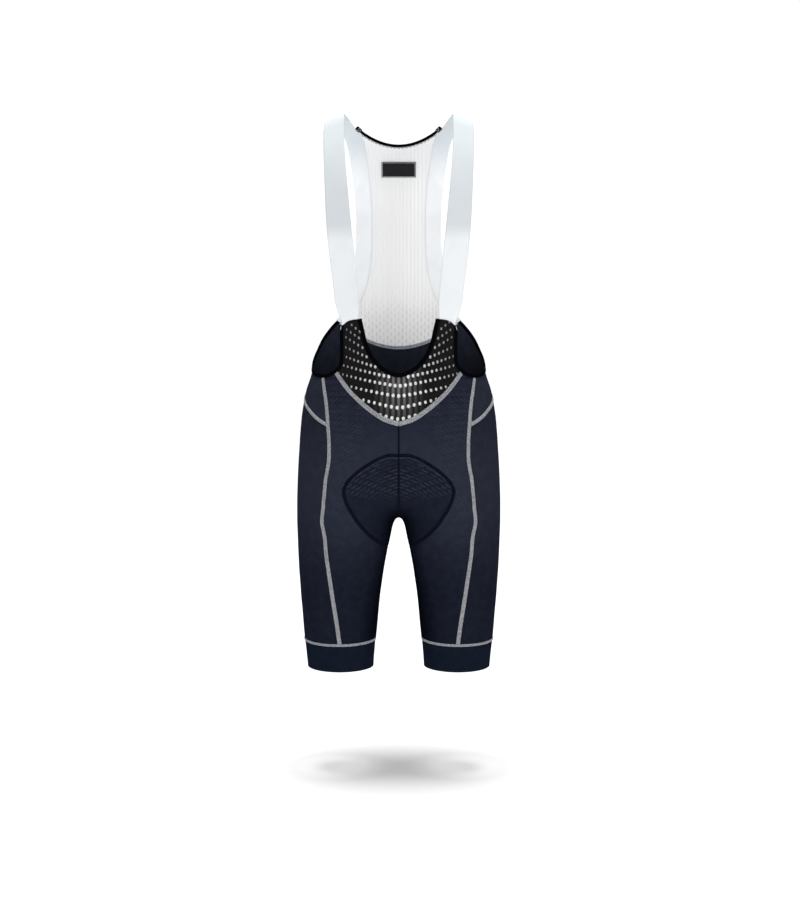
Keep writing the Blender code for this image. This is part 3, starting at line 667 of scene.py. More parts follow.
def frames(path, normals):
    """The direction across a path at each of its points."""
    last = len(path) - 1
    acrosses = []
    for k in range(len(path)):
        along = (path[min(k + 1, last)] - path[max(k - 1, 0)]).normalized()
        acrosses.append(normals[k].cross(along).normalized())
    return acrosses


def band(path, normals, profile, side=1, closed=False):
    """A closed band swept along a path; the profile is a ring of (across, out) points."""
    acrosses = frames(path, normals)
    if closed:
        along = (path[1] - path[-2]).normalized()
        acrosses[0] = acrosses[-1] = normals[0].cross(along).normalized()
    lengths = run_lengths(path)
    ring = profile + profile[:1]
    around = run_lengths([Vector(corner) for corner in ring])

    def place(i, j):
        across, out = ring[i]
        point = path[j] + acrosses[j] * across + normals[j] * out
        return point, Vector((around[i], lengths[j], 0.0))

    bm = cloth_grid(len(profile), len(path) - 1, place, side, around=True)
    rims = [edge for edge in bm.edges if edge.is_boundary]
    if rims:
        bmesh.ops.holes_fill(bm, edges=rims, sides=0)
    bmesh.ops.recalc_face_normals(bm, faces=bm.faces[:])
    return bm


def folded_profile(width):
    """Ring of a folded binding: flat faces with round edges, from 0 to width across."""
    ring = []
    radius = BINDING_WALL / 2
    for middle, sign in ((width - radius, 1), (radius, -1)):
        for k in range(FOLD_STEPS + 1):
            angle = sign * math.pi / 2 - math.pi * k / FOLD_STEPS
            ring.append((middle + radius * math.cos(angle), radius * math.sin(angle)))
        ring.append((width / 2, -sign * radius * (1 - FOLD_WAIST)))
    return ring


def ribbon_profile(width, height):
    """Ring of a flat seam: a low crowned strip, centred on its path."""
    half = width / 2
    crown = ((-1, 0.0), (-0.86, 0.8), (-0.45, 1), (0, 0.86), (0.45, 1), (0.86, 0.8), (1, 0.0), (0, -0.3))
    return [(half * across, height * out) for across, out in crown]


def threads(name, lines, radius, look, side=1, sides=2, both=False):
    """Round threads along lists of points, as one mesh; both adds their mirror images."""
    curve = bpy.data.curves.new(name + "_curve", "CURVE")
    curve.dimensions = "3D"
    curve.bevel_depth = radius
    curve.bevel_resolution = sides
    curve.use_fill_caps = True
    if both:
        lines = lines + [[Vector((-point.x, point.y, point.z)) for point in line] for line in lines]
    for line in lines:
        thread = curve.splines.new("POLY")
        thread.points.add(len(line) - 1)
        for point, target in zip(thread.points, line):
            point.co = (target.x * side, target.y, target.z, 1.0)
    holder = placed(name + "_curve", curve)
    graph = bpy.context.evaluated_depsgraph_get()
    mesh = bpy.data.meshes.new_from_object(holder.evaluated_get(graph))
    bpy.data.objects.remove(holder)
    bm = bmesh.new()
    bm.from_mesh(mesh)
    bpy.data.meshes.remove(mesh)
    bmesh.ops.recalc_face_normals(bm, faces=bm.faces[:])
    return finished(name, bm, None, look)


# ---------------------------------------------------------------- materials

def put(tree, kind, **settings):
    made = tree.nodes.new("ShaderNode" + kind)
    for name, value in settings.items():
        setattr(made, name, value)
    return made


def feed(socket, value):
    """Set a socket to a number or a colour, or link a field to it."""
    if isinstance(value, Field):
        value.tree.links.new(value.socket, socket)
    else:
        socket.default_value = (*value, 1.0) if isinstance(value, tuple) else value


def feed_all(sockets, values):
    for socket, value in zip(sockets, values):
        feed(socket, value)


class Field:
    """What a socket gives over a piece; sums on fields add the nodes that work them out."""

    def __init__(self, socket):
        self.socket = socket
        self.tree = socket.id_data

    def node(self, kind, values, output=0, **settings):
        made = put(self.tree, kind, **settings)
        feed_all(made.inputs, values)
        return Field(made.outputs[output])

    def math(self, operation, *values):
        return self.node("Math", values or (self,), operation=operation)

    def __add__(self, other):
        return self.math("ADD", self, other)

    def __sub__(self, other):
        return self.math("SUBTRACT", self, other)

    def __rsub__(self, other):
        return self.math("SUBTRACT", other, self)

    def __mul__(self, other):
        return self.math("MULTIPLY", self, other)

    def __truediv__(self, other):
        return self.math("DIVIDE", self, other)

    def __abs__(self):
        return self.math("ABSOLUTE")

    def most(self, other):
        return self.math("MAXIMUM", self, other)

    def part(self):
        return self.math("FRACT")

    def shift(self):
        """Half a step in every other row."""
        return (self.math("FLOOR") * 0.5).part()

    def wave(self, pitch, operation="SINE"):
        return (self * (2 * math.pi / pitch)).math(operation)

    def ramp(self, low, high, to_low=0.0, to_high=1.0):
        """A smooth step from low to high."""
        return self.node("MapRange", (self, low, high, to_low, to_high), interpolation_type="SMOOTHSTEP")

    def zone(self, low, high, to_low=0.0, to_high=1.0):
        """A smooth step between two places in millimetres."""
        return self.ramp(low * MM, high * MM, to_low, to_high)

    def mix(self, low, high):
        """Low colour where this is 0, high colour where it is 1."""
        made = put(self.tree, "Mix", data_type="RGBA")
        feed_all((made.inputs[0], made.inputs[6], made.inputs[7]), (self, low, high))
        return Field(made.outputs[2])

    def split(self):
        made = put(self.tree, "SeparateXYZ")
        feed(made.inputs[0], self)
        return [Field(socket) for socket in made.outputs]

    def cloud(self, scale, detail=2.0):
        made = put(self.tree, "TexNoise")
        sockets = [made.inputs[name] for name in ("Vector", "Scale", "Detail")]
        feed_all(sockets, (self, scale, detail))
        return Field(made.outputs["Fac"])


def new_group(name, numbers, outs):
    """A node group that takes a place on the cloth and some numbers, and gives numbers."""
    tree = bpy.data.node_groups.new(name, "ShaderNodeTree")
    tree.interface.new_socket(name="cloth", in_out="INPUT", socket_type="NodeSocketVector")
    for in_out, names in (("INPUT", numbers), ("OUTPUT", outs)):
        for socket in names:
            tree.interface.new_socket(name=socket, in_out=in_out, socket_type="NodeSocketFloat")
    given = {socket.name: Field(socket) for socket in tree.nodes.new("NodeGroupInput").outputs}
    return tree, given, tree.nodes.new("NodeGroupOutput").inputs


def knit_group():
    """Wales and courses of a fine knit, and a slow unevenness."""
    group, given, wanted = new_group("fine_knit", ("wale", "course"), ("height", "uneven"))
    u, v, _ = given["cloth"].split()
    wale = abs((u / given["wale"] * math.pi).math("SINE"))
    course = ((v / given["course"] + wale * 0.4) * (2 * math.pi)).math("SINE")
    feed(wanted["height"], wale + course * 0.25)
    feed(wanted["uneven"], given["cloth"].cloud(60.0, 4.0))
    return group


def float_group():
    """Thin floats laid like bricks in rows that rise to the centre front, with short steps
    between rows, where the knit shows them."""
    group, given, wanted = new_group("float_rows", ("row", "float_length", "rise", "bend"), ("mask",))
    u, v, depth = given["cloth"].split()
    climb = u * (given["rise"] * v.zone(-545, -420, 1.0, 1.9)) + u * u * given["bend"]
    rows = (v + climb) / given["row"]
    lengths = u / given["float_length"]
    line = abs(rows.part() - 0.5).ramp(0.05, 0.12, 1.0, 0.0)
    piece = abs((lengths + rows.shift()).part() - 0.5).ramp(0.30, 0.37, 1.0, 0.0)
    cells = rows + 0.5
    joint = lengths + (cells.shift() - cells.part() * 0.16)
    step = abs(joint.part() - 0.36).ramp(0.012, 0.04, 1.0, 0.0)
    drawn = (line * piece).most(step * 0.45)
    worn = given["cloth"].cloud(45.0).ramp(0.36, 0.62, 0.3, 1.0)
    inside = depth.zone(-1, 3)
    on_pad = inside * v.zone(-632, -600, 0.03, 1.0)
    aside = (u + v * 0.35).zone(-135, -105)
    off_pad = v.zone(-575, -470, 0.45, 1.0) * v.zone(-715, -620) * aside
    feed(wanted["mask"], drawn * worn * on_pad.most(off_pad * (1.0 - inside)))
    return group


KNIT = knit_group()
FLOATS = float_group()


class Look:
    """A material while it is made: its node tree, its shader and the flat cloth it lies on."""

    def __init__(self, name, roughness, specular=0.35, sheen=0.0):
        self.material = bpy.data.materials.new(name)
        self.material.use_nodes = True
        self.tree = self.material.node_tree
        self.shader = self.tree.nodes["Principled BSDF"].inputs
        feed(self.shader["Roughness"], roughness)
        feed(self.shader["Specular IOR Level"], specular)
        feed(self.shader["Sheen Weight"], sheen)
        feed(self.shader["Sheen Roughness"], 0.4)
        self.cloth = Field(put(self.tree, "Attribute", attribute_name="cloth").outputs["Vector"])

    def place(self):
        return Field(put(self.tree, "TexCoord").outputs["Object"])

    def group(self, group, **values):
        made = put(self.tree, "Group", node_tree=group)
        feed(made.inputs["cloth"], self.cloth)
        feed_all([made.inputs[name] for name in values], values.values())
        return {socket.name: Field(socket) for socket in made.outputs}

    def knit(self, wale, course):
        """Relief and unevenness of a knit with that stitch, in millimetres."""
        return self.group(KNIT, wale=wale * MM, course=course * MM).values()

    def finish(self, colour, height, strength, depth):
        """Give the shader its colour and its relief, depth in millimetres."""
        feed(self.shader["Base Color"], colour)
        bump = put(self.tree, "Bump")
        feed(bump.inputs["Strength"], strength)
        feed(bump.inputs["Distance"], depth * MM)
        feed(bump.inputs["Height"], height)
        feed(self.shader["Normal"], Field(bump.outputs["Normal"]))
        return self.material


def tinted(colour, gain):
    return tuple(min(1.0, part * gain) for part in colour)


def panel_look(name, base, painted_light_colour, floats=False):
    """Matt navy warp knit: painted paler over the hips (painted light) and painted darker down the inside
    of the legs and at the crotch (painted shade); with floats it shows its woven-in rows and a painted
    highlight on the ridge inside the pad's seam."""
    look = Look(name, 0.6, specular=0.0)
    height, uneven = look.knit(0.7, 0.9)
    mottle = uneven.ramp(0.3, 0.75)
    depth = look.cloth.split()[2]
    x, _, z = look.place().split()
    # Painted light: paler over the hips, fading up the waist and down the thighs; none inside the pad's
    # outline.
    painted_hip_light = z.zone(-430, -585, 0.3, 1.0) * z.zone(-790, -615)
    if floats:
        painted_hip_light = painted_hip_light * (1.0 - depth.zone(-1, 1) * 0.9)
    colour = painted_hip_light.mix(mottle.mix(tinted(base, 0.85), tinted(base, 1.15)),
                         mottle.mix(tinted(painted_light_colour, 0.9), tinted(painted_light_colour, 1.1)))
    if floats:
        mask = look.group(FLOATS, row=6.1 * MM, float_length=18 * MM, rise=0.29, bend=1.2)["mask"]
        colour = (mask * 0.9).mix(colour, (0.044, 0.048, 0.066))
        height = height + mask * 1.5
        # Painted highlight along the ridge just inside the top of the pad's seam.
        painted_ridge_highlight = depth.zone(2.6, 3.6) * depth.zone(5.6, 4.2) * z.zone(-612, -575)
        colour = (painted_ridge_highlight * 0.45).mix(colour, (0.045, 0.050, 0.070))
    # Painted shade down the inside of the legs and at the crotch, where the legs shade each other.
    off_inseam = abs(x) - z.zone(-655, -880, 3 * MM, 38 * MM)
    inner = off_inseam.zone(34, 2) * z.zone(-618, -668)
    colour = (inner * 0.72).mix(colour, (0.0010, 0.0014, 0.0036))
    return look.finish(colour, height, 0.5, 0.15)


def hem_look():
    """Smooth navy band with a fine rib."""
    look = Look("hem_knit", 0.6, specular=0.0)
    height, uneven = look.knit(0.7, 0.9)
    colour = uneven.ramp(0.3, 0.75).mix((0.0060, 0.0092, 0.0175), (0.0078, 0.0115, 0.0212))
    return look.finish(colour, height, 0.5, 0.15)


def yarn_look(name, dark, light):
    """Thread or a covered seam: mottled by its own twist."""
    look = Look(name, 0.7, specular=0.03)
    twist = look.place().cloud(700.0, 3.0)
    return look.finish(twist.ramp(0.38, 0.62).mix(dark, light), twist, 0.4, 0.2)


def black_mesh_look():
    """Open black warp knit; at the centre front it is drawn thin and its ribs are painted paler, partly
    as painted sheen, and its raised loops carry a painted highlight.
    """
    look = Look("black_mesh", 0.6, specular=0.03)
    u, v, _ = look.cloth.split()
    ribs = u.wave(8.9 * MM, "COSINE").ramp(-0.7, 1.0, 0.12, 1.0)
    # Paler ribs at the centre front: partly the mesh drawn thin over the white lining, partly painted
    # sheen.
    thin = abs(u).zone(46, 0) * v.zone(-505, -428, 0.25, 1.0) * ribs
    height, _ = look.knit(1.1, 1.3)
    colour = thin.mix((0.0050, 0.0050, 0.0054), (0.17, 0.166, 0.162))
    # Painted highlight on the raised loops of the knit.
    colour = (height.ramp(0.4, 1.0) * 0.14).mix(colour, (0.045, 0.045, 0.047))
    return look.finish(colour, height, 0.6, 0.25)


def lining_look():
    """White lining, bright at the centre front and shaded towards the sides."""
    look = Look("white_lining", 0.8)
    u, v, _ = look.cloth.split()
    shade = (abs(u).zone(30, 95) + v.zone(-440, -350)) * 0.5
    height, _ = look.knit(0.8, 0.8)
    return look.finish(shade.mix((1.0, 1.0, 1.0), (0.33, 0.33, 0.35)), height, 0.3, 0.15)


def binding_look():
    """Folded black elastic: fine ribs across it, their crests painted lighter as a painted highlight."""
    look = Look("black_binding", 0.6, specular=0.0)
    ribs = look.cloth.split()[1].wave(1.0 * MM).ramp(-1.0, 1.0)
    # Painted highlight on the rib crests, painted shade in the grooves.
    return look.finish(ribs.mix((0.0008, 0.0008, 0.0012), (0.0032, 0.0032, 0.0045)), ribs, 0.5, 0.2)


def strap_look():
    """Bluish white flat elastic, with painted shade greyer above the chest and at the nape, and painted
    light low down the back.
    """
    look = Look("strap_elastic", 0.6, specular=0.12)
    u, v, _ = look.cloth.split()
    z = look.place().split()[2]
    rib = u.wave(1.6 * MM).ramp(-1.0, 1.0)
    # Painted shade on the front above the chest; down the back, painted light low and painted shade at
    # the nape.
    front = z.zone(-203, -170).mix((0.75, 0.775, 0.79), (0.585, 0.62, 0.64))
    back = z.zone(-125, -35).mix((0.97, 0.985, 1.0), (0.66, 0.71, 0.745))
    # The ribs painted darker in their grooves (painted shade), and a random mottle.
    shade = rib * 0.07 + look.cloth.cloud(22.0).ramp(0.4, 0.7) * 0.12
    height, _ = look.knit(0.8, 0.7)
    return look.finish(shade.mix(v.zone(335, 375).mix(front, back), (0.50, 0.56, 0.62)),
                       height + rib, 0.35, 0.15)


def bib_look():
    """Warm white ribbed mesh, with eyelets between the ribs that open towards the waist; painted lighter
    low down, where the inside lies in shade, and darker towards the top.
    """
    look = Look("white_rib_mesh", 0.75, specular=0.1)
    u, v, _ = look.cloth.split()
    ribs = u / RIB_PITCH
    slot = abs(ribs.part() - 0.5).ramp(0.30, 0.42)
    down = (v / (12 * MM) + (ribs + 0.5).shift()).part()
    dash = abs(down - 0.5).ramp(0.33, 0.20)
    low = v.zone(-265, -380)
    mask = (slot * dash * low * 0.75).most(slot * (low * 0.09 + 0.03))
    side = abs(u).zone(22, 52) * v.zone(-330, -200)
    ground = side.mix((0.93, 0.925, 0.92), (0.90, 0.925, 0.945))
    # Painted light: whiter low down towards the waist, where the inside lies in shade.
    ground = v.zone(-250, -375).mix(ground, (0.99, 0.99, 0.985))
    ground = v.zone(-150, -60).mix(ground, (0.84, 0.85, 0.86))
    height, _ = look.knit(1.05, 1.2)
    return look.finish(mask.mix(ground, (0.64, 0.64, 0.64)), height, 0.4, 0.2)


def pad_look():
    """Brushed dark blue cover of the moulded pad."""
    look = Look("pad_cover", 0.9, specular=0.05, sheen=0.08)
    height, uneven = look.knit(1.0, 1.0)
    return look.finish(uneven.ramp(0.35, 0.7).mix((0.035, 0.045, 0.085), (0.06, 0.075, 0.13)),
                       height, 0.4, 0.3)


def tag_look():
    """Black woven tag, plain, with a fine satin weave, its raised threads painted lighter as a painted
    sheen.
    """
    look = Look("tag_weave", 0.5, specular=0.12)
    height, _ = look.knit(0.5, 0.35)
    # Painted sheen on the raised threads of the weave.
    return look.finish(height.ramp(0.2, 1.1).mix((0.006, 0.006, 0.007), (0.016, 0.016, 0.018)),
                       height, 0.5, 0.1)


# The second colour of each navy knit is the painted light over the hips.
FRONT_KNIT = panel_look("front_knit", (0.0090, 0.0113, 0.0204), (0.0215, 0.0250, 0.0400), floats=True)
SIDE_KNIT = panel_look("side_knit", (0.0096, 0.0118, 0.0200), (0.0190, 0.0218, 0.0335))
# The yoke is the same navy knit painted lighter all over: painted light where its inside lies in shade.
YOKE_KNIT_PAINTED_LIGHTER = panel_look("yoke_knit_painted_lighter", (0.0190, 0.0222, 0.0335), (0.0190, 0.0222, 0.0335))
HEM_KNIT = hem_look()
COVER_YARN = yarn_look("grey_cover_stitch", (0.30, 0.33, 0.38), (0.58, 0.62, 0.68))
GREY_YARN = yarn_look("grey_flatlock", (0.18, 0.187, 0.20), (0.44, 0.45, 0.47))
ROPE_YARN = yarn_look("navy_rope_stitch", (0.002, 0.003, 0.010), (0.009, 0.011, 0.026))
ROPE_BED = yarn_look("navy_stitch_bed", (0.0008, 0.0012, 0.004), (0.002, 0.003, 0.008))
NAVY_YARN = yarn_look("navy_thread", (0.0016, 0.0022, 0.006), (0.0062, 0.0076, 0.0155))
WHITE_YARN = yarn_look("white_thread", (0.70, 0.72, 0.74), (0.86, 0.87, 0.88))
BLACK_YARN = yarn_look("black_thread", (0.004, 0.004, 0.005), (0.016, 0.016, 0.018))
BLACK_MESH = black_mesh_look()
WHITE_LINING = lining_look()
BINDING = binding_look()
STRAP_ELASTIC = strap_look()
RIB_MESH = bib_look()
PAD_COVER = pad_look()
TAG_WEAVE = tag_look()


# ---------------------------------------------------------------- shorts

def level_start(start, end, u):
    """From start to end on a chart, leaving and arriving level, as the crotch needs."""
    return Vector((start.x + (end.x - start.x) * u, start.y + (end.y - start.y) * ease(u)))


def between(points, position):
    k = min(int(position), len(points) - 2)
    return points[k].lerp(points[k + 1], position - k)


def coons(left, right, top, bottom):
    """Blend the charts of four edges into one chart place for each (column, row)."""
    columns, rows = len(top) - 1, len(left) - 1

    def at(column, row):
        u, v = column / columns, row / rows
        across = level_start(left[row], right[row], u)
        down = between(top, column).lerp(between(bottom, column), v)
        corners = level_start(top[0], top[-1], u).lerp(level_start(bottom[0], bottom[-1], u), v)
        return across + down - corners

    return at


def panel(name, chart, columns, rows, side, look):
    """A leg panel's sheet, with its flat place measured along each row."""
    spots = {}
    for j in range(rows + 1):
        gone = 0.0
        for i in range(columns + 1):
            point = skin(body(*chart(i, j)))
            if i:
                gone += (point.xy - spots[i - 1, j][0].xy).length
            spots[i, j] = (point, Vector((gone, point.z, pad_depth(point))))
    return sheet(name, columns, rows, lambda i, j: spots[i, j], leg_core(side), look,
                 CLOTH, side)


def front_panel(seams, side, name):
    right = seams["long_upper"] + seams["long_lower"][1:]
    top = seams["v"] + seams["pocket"][1:]
    chart = coons(seams["centre_front"], right, top, seams["hem_front"])
    return panel(name, chart, FRONT_COLUMNS, YOKE_ROWS + SEAM_ROWS, side, FRONT_KNIT)


def side_panel(seams, side, name):
    chart = coons(seams["long_lower"], seams["centre_back"], seams["hip"], seams["hem_side"])
    return panel(name, chart, SIDE_COLUMNS, SEAM_ROWS, side, SIDE_KNIT)


def leg_band(seams, side, name):
    ring = seams["hem_front"] + seams["hem_side"][1:]

    def place(i, j):
        z = HEM_SEAM_Z + (HEM_Z - HEM_SEAM_Z) * j / HEM_ROWS
        return skin(body(ring[i].x, z)), Vector((ring[i].x * GIRTH_PER_DEGREE * LEG_SHARE, z, 0.0))

    return sheet(name, len(ring) - 1, HEM_ROWS, place, leg_core(side), HEM_KNIT,
                 GRIPPER, side, around=True)


def yoke(seams):
    top = seams["yoke_side"] + seams["bib"][1:]
    bottom = seams["hip"]
    half = len(top) - 1
    right = [top[-1].lerp(bottom[-1], j / YOKE_ROWS) for j in range(YOKE_ROWS + 1)]
    chart = coons(seams["long_upper"], right, top, bottom)

    def place(i, j):
        turn, z = chart(half - abs(i - half), j)
        point = skin(body(turn, z))
        flat = Vector(((turn - 180) * GIRTH_PER_DEGREE, z, 0.0))
        if i > half:
            point.x = -point.x
            flat.x = -flat.x
        return point, flat

    return sheet("back_yoke", 2 * half, YOKE_ROWS, place, trunk_core, YOKE_KNIT_PAINTED_LIGHTER, CLOTH)


# ---------------------------------------------------------------- perforated front

def edge_distance(point, outline):
    best = 1.0
    for a, b in zip(outline, outline[1:] + outline[:1]):
        along = b - a
        t = min(1.0, max(0.0, (point - a).dot(along) / along.length_squared))
        best = min(best, (point - a - along * t).length)
    return best


def inside_outline(point, outline):
    crossings = 0
    for a, b in zip(outline, outline[1:] + outline[:1]):
        if (a.y > point.y) != (b.y > point.y):
            crossings += point.x < a.x + (b.x - a.x) * (point.y - a.y) / (b.y - a.y)
    return crossings % 2 == 1


def well_inside(point, outline, margin):
    return inside_outline(point, outline) and edge_distance(point, outline) > margin


def hole_size(centre):
    return 1 - HOLE_SHRINK * min(1.0, abs(centre.x) / (MESH_HALF * MM))


def hole_centres(flat):
    centres = []
    for row in HOLE_ROWS:
        count = math.ceil(MESH_HALF / row.pitch)
        for step in range(-count, count + 1):
            x = row.middle + step * row.pitch
            z = row.z + row.rise * (math.hypot(x, ROW_ROUND) - ROW_ROUND)
            centre = Vector((x, z)) * MM
            if well_inside(centre, flat, (HOLE_HEIGHT / 2 * hole_size(centre) + HOLE_MARGIN) * MM):
                centres.append(centre)
    return centres


def hole_ring(centre, grow=1.0):
    size = hole_size(centre) * grow * MM / 2
    angles = [2 * math.pi * k / HOLE_SIDES for k in range(HOLE_SIDES)]
    return [centre + Vector((HOLE_WIDTH * math.cos(a), HOLE_HEIGHT * math.sin(a))) * size for a in angles]


def in_hole(point, centre):
    offset = (point - centre) / (hole_size(centre) * MM / 2)
    return math.hypot(offset.x / HOLE_WIDTH, offset.y / HOLE_HEIGHT) < HOLE_HEART


def cut_sheet(flat, centres, cut, depth):
    """Triangulate the outline on a fine lattice, with a hole at each centre where it is cut."""
    points = list(flat)
    edges = [(k, (k + 1) % len(flat)) for k in range(len(flat))]
    tree = KDTree(len(centres))
    for k, centre in enumerate(centres):
        tree.insert(centre.to_3d(), k)
    tree.balance()
    for centre in centres if cut else ():
        first = len(points)
        points += hole_ring(centre) + hole_ring(centre, HOLE_SURROUND)
        edges += [(first + k, first + (k + 1) % HOLE_SIDES) for k in range(HOLE_SIDES)]
    for row in LATTICE_ROWS:
        for step in LATTICE_STEPS:
            spot = Vector(((step + 0.5 * (row % 2)) * LATTICE, row * LATTICE))
            clear = not cut or tree.find(spot.to_3d())[2] > HOLE_CLEARANCE
            if clear and well_inside(spot, flat, EDGE_CLEARANCE):
                points.append(spot)
    verts, _, faces, *_ = delaunay_2d_cdt(points, edges, [], 1, 1e-7)
    bm = bmesh.new()
    layer = bm.verts.layers.float_vector.new("cloth")
    made = []
    for vert in verts:
        new = bm.verts.new(skin(front_body(vert.x / GIRTH_PER_DEGREE, vert.y), -depth))
        new[layer] = vert.to_3d()
        made.append(new)
    for face in faces:
        middle = sum((verts[k] for k in face), Vector((0.0, 0.0))) / len(face)
        nearest = centres[tree.find(middle.to_3d())[1]]
        if not (cut and in_hole(middle, nearest)):
            bm.faces.new([made[k] for k in face])
    face_away(bm, trunk_core)
    return bm


def front_mesh_and_lining(seams):
    half = seams["v"] + seams["front_side"][1:] + seams["foot"][1:] + seams["scoop"][1:]
    flat = unrolled(half + mirrored(half[1:-1]))
    centres = hole_centres(flat)
    mesh = finished("front_mesh_cloth", cut_sheet(flat, centres, True, 0.0), "front_mesh",
                    BLACK_MESH, MESH)
    lining = finished("front_lining_cloth", cut_sheet(flat, centres, False, LINING_DEPTH),
                      "front_lining", WHITE_LINING, LINING)
    return mesh, lining


# ---------------------------------------------------------------- bindings and seams

def dressed(points, extra=0.0):
    """A route over the creased cloth: the points moved out to it, and their normals."""
    return [skin(point, extra) for point in points], [outward(point) for point in points]


def seam_route(chart, pitch=ROUTE_PITCH, extra=0.0):
    return dressed([body(*place) for place in fine_chart(chart, pitch)], extra)


def zigzag(route, width, pitch, lift, phase=0.0, mirror=False):
    """Points of a thread that crosses a seam from side to side."""
    path, normals = route
    acrosses = frames(path, normals)
    lengths = run_lengths(path)
    line = []
    for step in range(int(lengths[-1] / pitch)):
        k, t = stretch_at(lengths, (step + 0.5 + phase) * pitch)
        middle, across, out = (row[k].lerp(row[k + 1], t) for row in (path, acrosses, normals))
        sign = 1 if (step % 2 == 0) != mirror else -1
        line.append(middle + across * (sign * width / 2) + out * lift)
        line.append(middle + across * (sign * width * THREAD_MIDDLE) + out * (lift + THREAD_RISE))
    return line


def sew(name, route, seam, look, side=1, closed=False, over=None, over_name=None):
    """A seam's ribbon along a route of points and normals, and the threads over it."""
    bm = band(*route, ribbon_profile(seam.width * MM, seam.height * MM), side, closed)
    finished(name, bm, None, look)
    lines = [zigzag(route, seam.cross * MM, seam.pitch * MM, seam.lift * MM)]
    if seam.phase:
        lines.append(zigzag(route, seam.cross * MM, seam.pitch * MM, (seam.lift + THREAD_STEP) * MM,
                            seam.phase, True))
    threads(over_name or name + "_threads", lines, seam.thread * MM, over or look, side, 1)


def seams_of_leg(seams, side, word):
    long_seam = seams["long_upper"] + seams["long_lower"][1:]
    for name, chart, seam, look in (("long_seam", long_seam, LONG_STITCH, GREY_YARN),
                                    ("hip_seam", seams["hip"], HIP_STITCH, GREY_YARN),
                                    ("inseam", seams["inseam"], INSEAM_STITCH, NAVY_YARN)):
        sew(f"{name}_{word}", seam_route(chart), seam, look, side=side)
    hem = dressed([body(-90 + 360 * k / HEM_SAMPLES, HEM_STITCH_Z) for k in range(HEM_SAMPLES + 1)])
    sew(f"hem_seam_{word}", hem, HEM_STITCH, GREY_YARN, side, closed=True)


def bib_seam(seams, side, word):
    """Two rows of grey cover stitch where the bib meets the yoke, on both faces."""
    for face, sign in (("outer", 1), ("inner", -1)):
        for row, rise in (("upper", COVER_RISE), ("lower", -COVER_RISE)):
            chart = [Vector((point.x, point.y + rise)) for point in seams["bib"]]
            path, normals = seam_route(chart, extra=0.0 if sign > 0 else -CLOTH)
            route = path, [normal * sign for normal in normals]
            sew(f"bib_seam_{face}_{row}_{word}", route, COVER_STITCH, COVER_YARN, side=side)


def centre_seams(seams):
    """Dark seams down the centre front and the centre back, as far as the crotch."""
    for word in ("front", "back"):
        line = [point for point in seams[f"centre_{word}"] if point.y > CROTCH_Z][:-1]
        path = [body(*point) for point in line]
        for point in path:
            point.x = 0.0
        sew(f"centre_{word}_seam", dressed(every(path, ROUTE_PITCH)), CENTRE_STITCH, NAVY_YARN)


def folded_binding(name, route, width, inward, side=1):
    """A folded elastic on an edge; inward is the way it lies from the route's middle."""
    profile = folded_profile(width)
    if frames(*route)[len(route[0]) // 2].dot(inward) < 0:
        profile = [(-across, out) for across, out in profile]
    return finished(f"{name}_elastic", band(*route, profile, side), name, BINDING)


def side_binding(seams, side, name):
    chart = seams["front_side"][::-1] + seams["pocket"][1:] + seams["yoke_side"][1:]
    route = seam_route(chart, BINDING_PITCH)
    inward = SIDE_OPENING - route[0][len(route[0]) // 2]
    return folded_binding(name, route, SIDE_BINDING, inward, side)


def neck_binding(seams):
    half = seams["scoop"]
    route = dressed([front_body(*place) for place in half + mirrored(half[:-1])])
    return folded_binding("front_neck_binding", route, NECK_BINDING, UP)


# ---------------------------------------------------------------- bib and straps

def nape_z(x):
    """Height of the bib's top edge at a distance from the centre, both in millimetres."""
    return BIB[0].z - NAPE_DROP * (1 - (x / BIB[0].mesh) ** 2)


def bib_row(down):
    """Half-width and edge height of the bib's mesh, down its length from 0 to 1."""
    steps = [-float(k) for k in range(len(BIB) + 1)]
    widths = [row.mesh for row in BIB + [BIB_FOOT]]
    heights = [row.z for row in BIB] + [bib_seam_z(BIB_FOOT.mesh)]
    return (smooth(steps, column, -down * len(BIB)) for column in (widths, heights))


def bib_point(part, down):
    half, edge_z = bib_row(down)
    dip = (nape_z(part * BIB[0].mesh) - BIB[0].z) * (1 - down)
    sag = (bib_seam_z(part * BIB_FOOT.mesh) - bib_seam_z(BIB_FOOT.mesh)) * down ** 2
    return back_point(part * half, edge_z + dip + sag)


def back_bib():
    def place(i, j):
        part = i / BIB_SHEET_COLUMNS * 2 - 1
        point = bib_point(part, j / BIB_SHEET_ROWS)
        rib = math.cos(2 * math.pi * point.x / RIB_PITCH) * min(1.0, (1 - abs(part)) * 12)
        return point + outward(point) * RIB_RISE * (rib - 1), Vector((point.x, point.z, 0.0))

    return sheet("back_bib", BIB_SHEET_COLUMNS, BIB_SHEET_ROWS, place, trunk_core,
                 RIB_MESH, MESH)


def nape_route():
    """Points and normals of the binding along the nape, from strap to strap."""
    x, y, z = STRAP_ROWS[-1].inner
    tips = [Vector((sign * x, y, z)) * MM for sign in (-1, 1)]
    edge = [back_point(x, nape_z(x)) for x in ((k / 24 - 1) * BIB[0].mesh for k in range(49))]
    path = every(tips[:1] + edge + tips[1:], NAPE_PITCH)
    return path, [outward(point) for point in path]


def nape_binding():
    return folded_binding("back_neck_binding", nape_route(), NAPE_BINDING, UP)


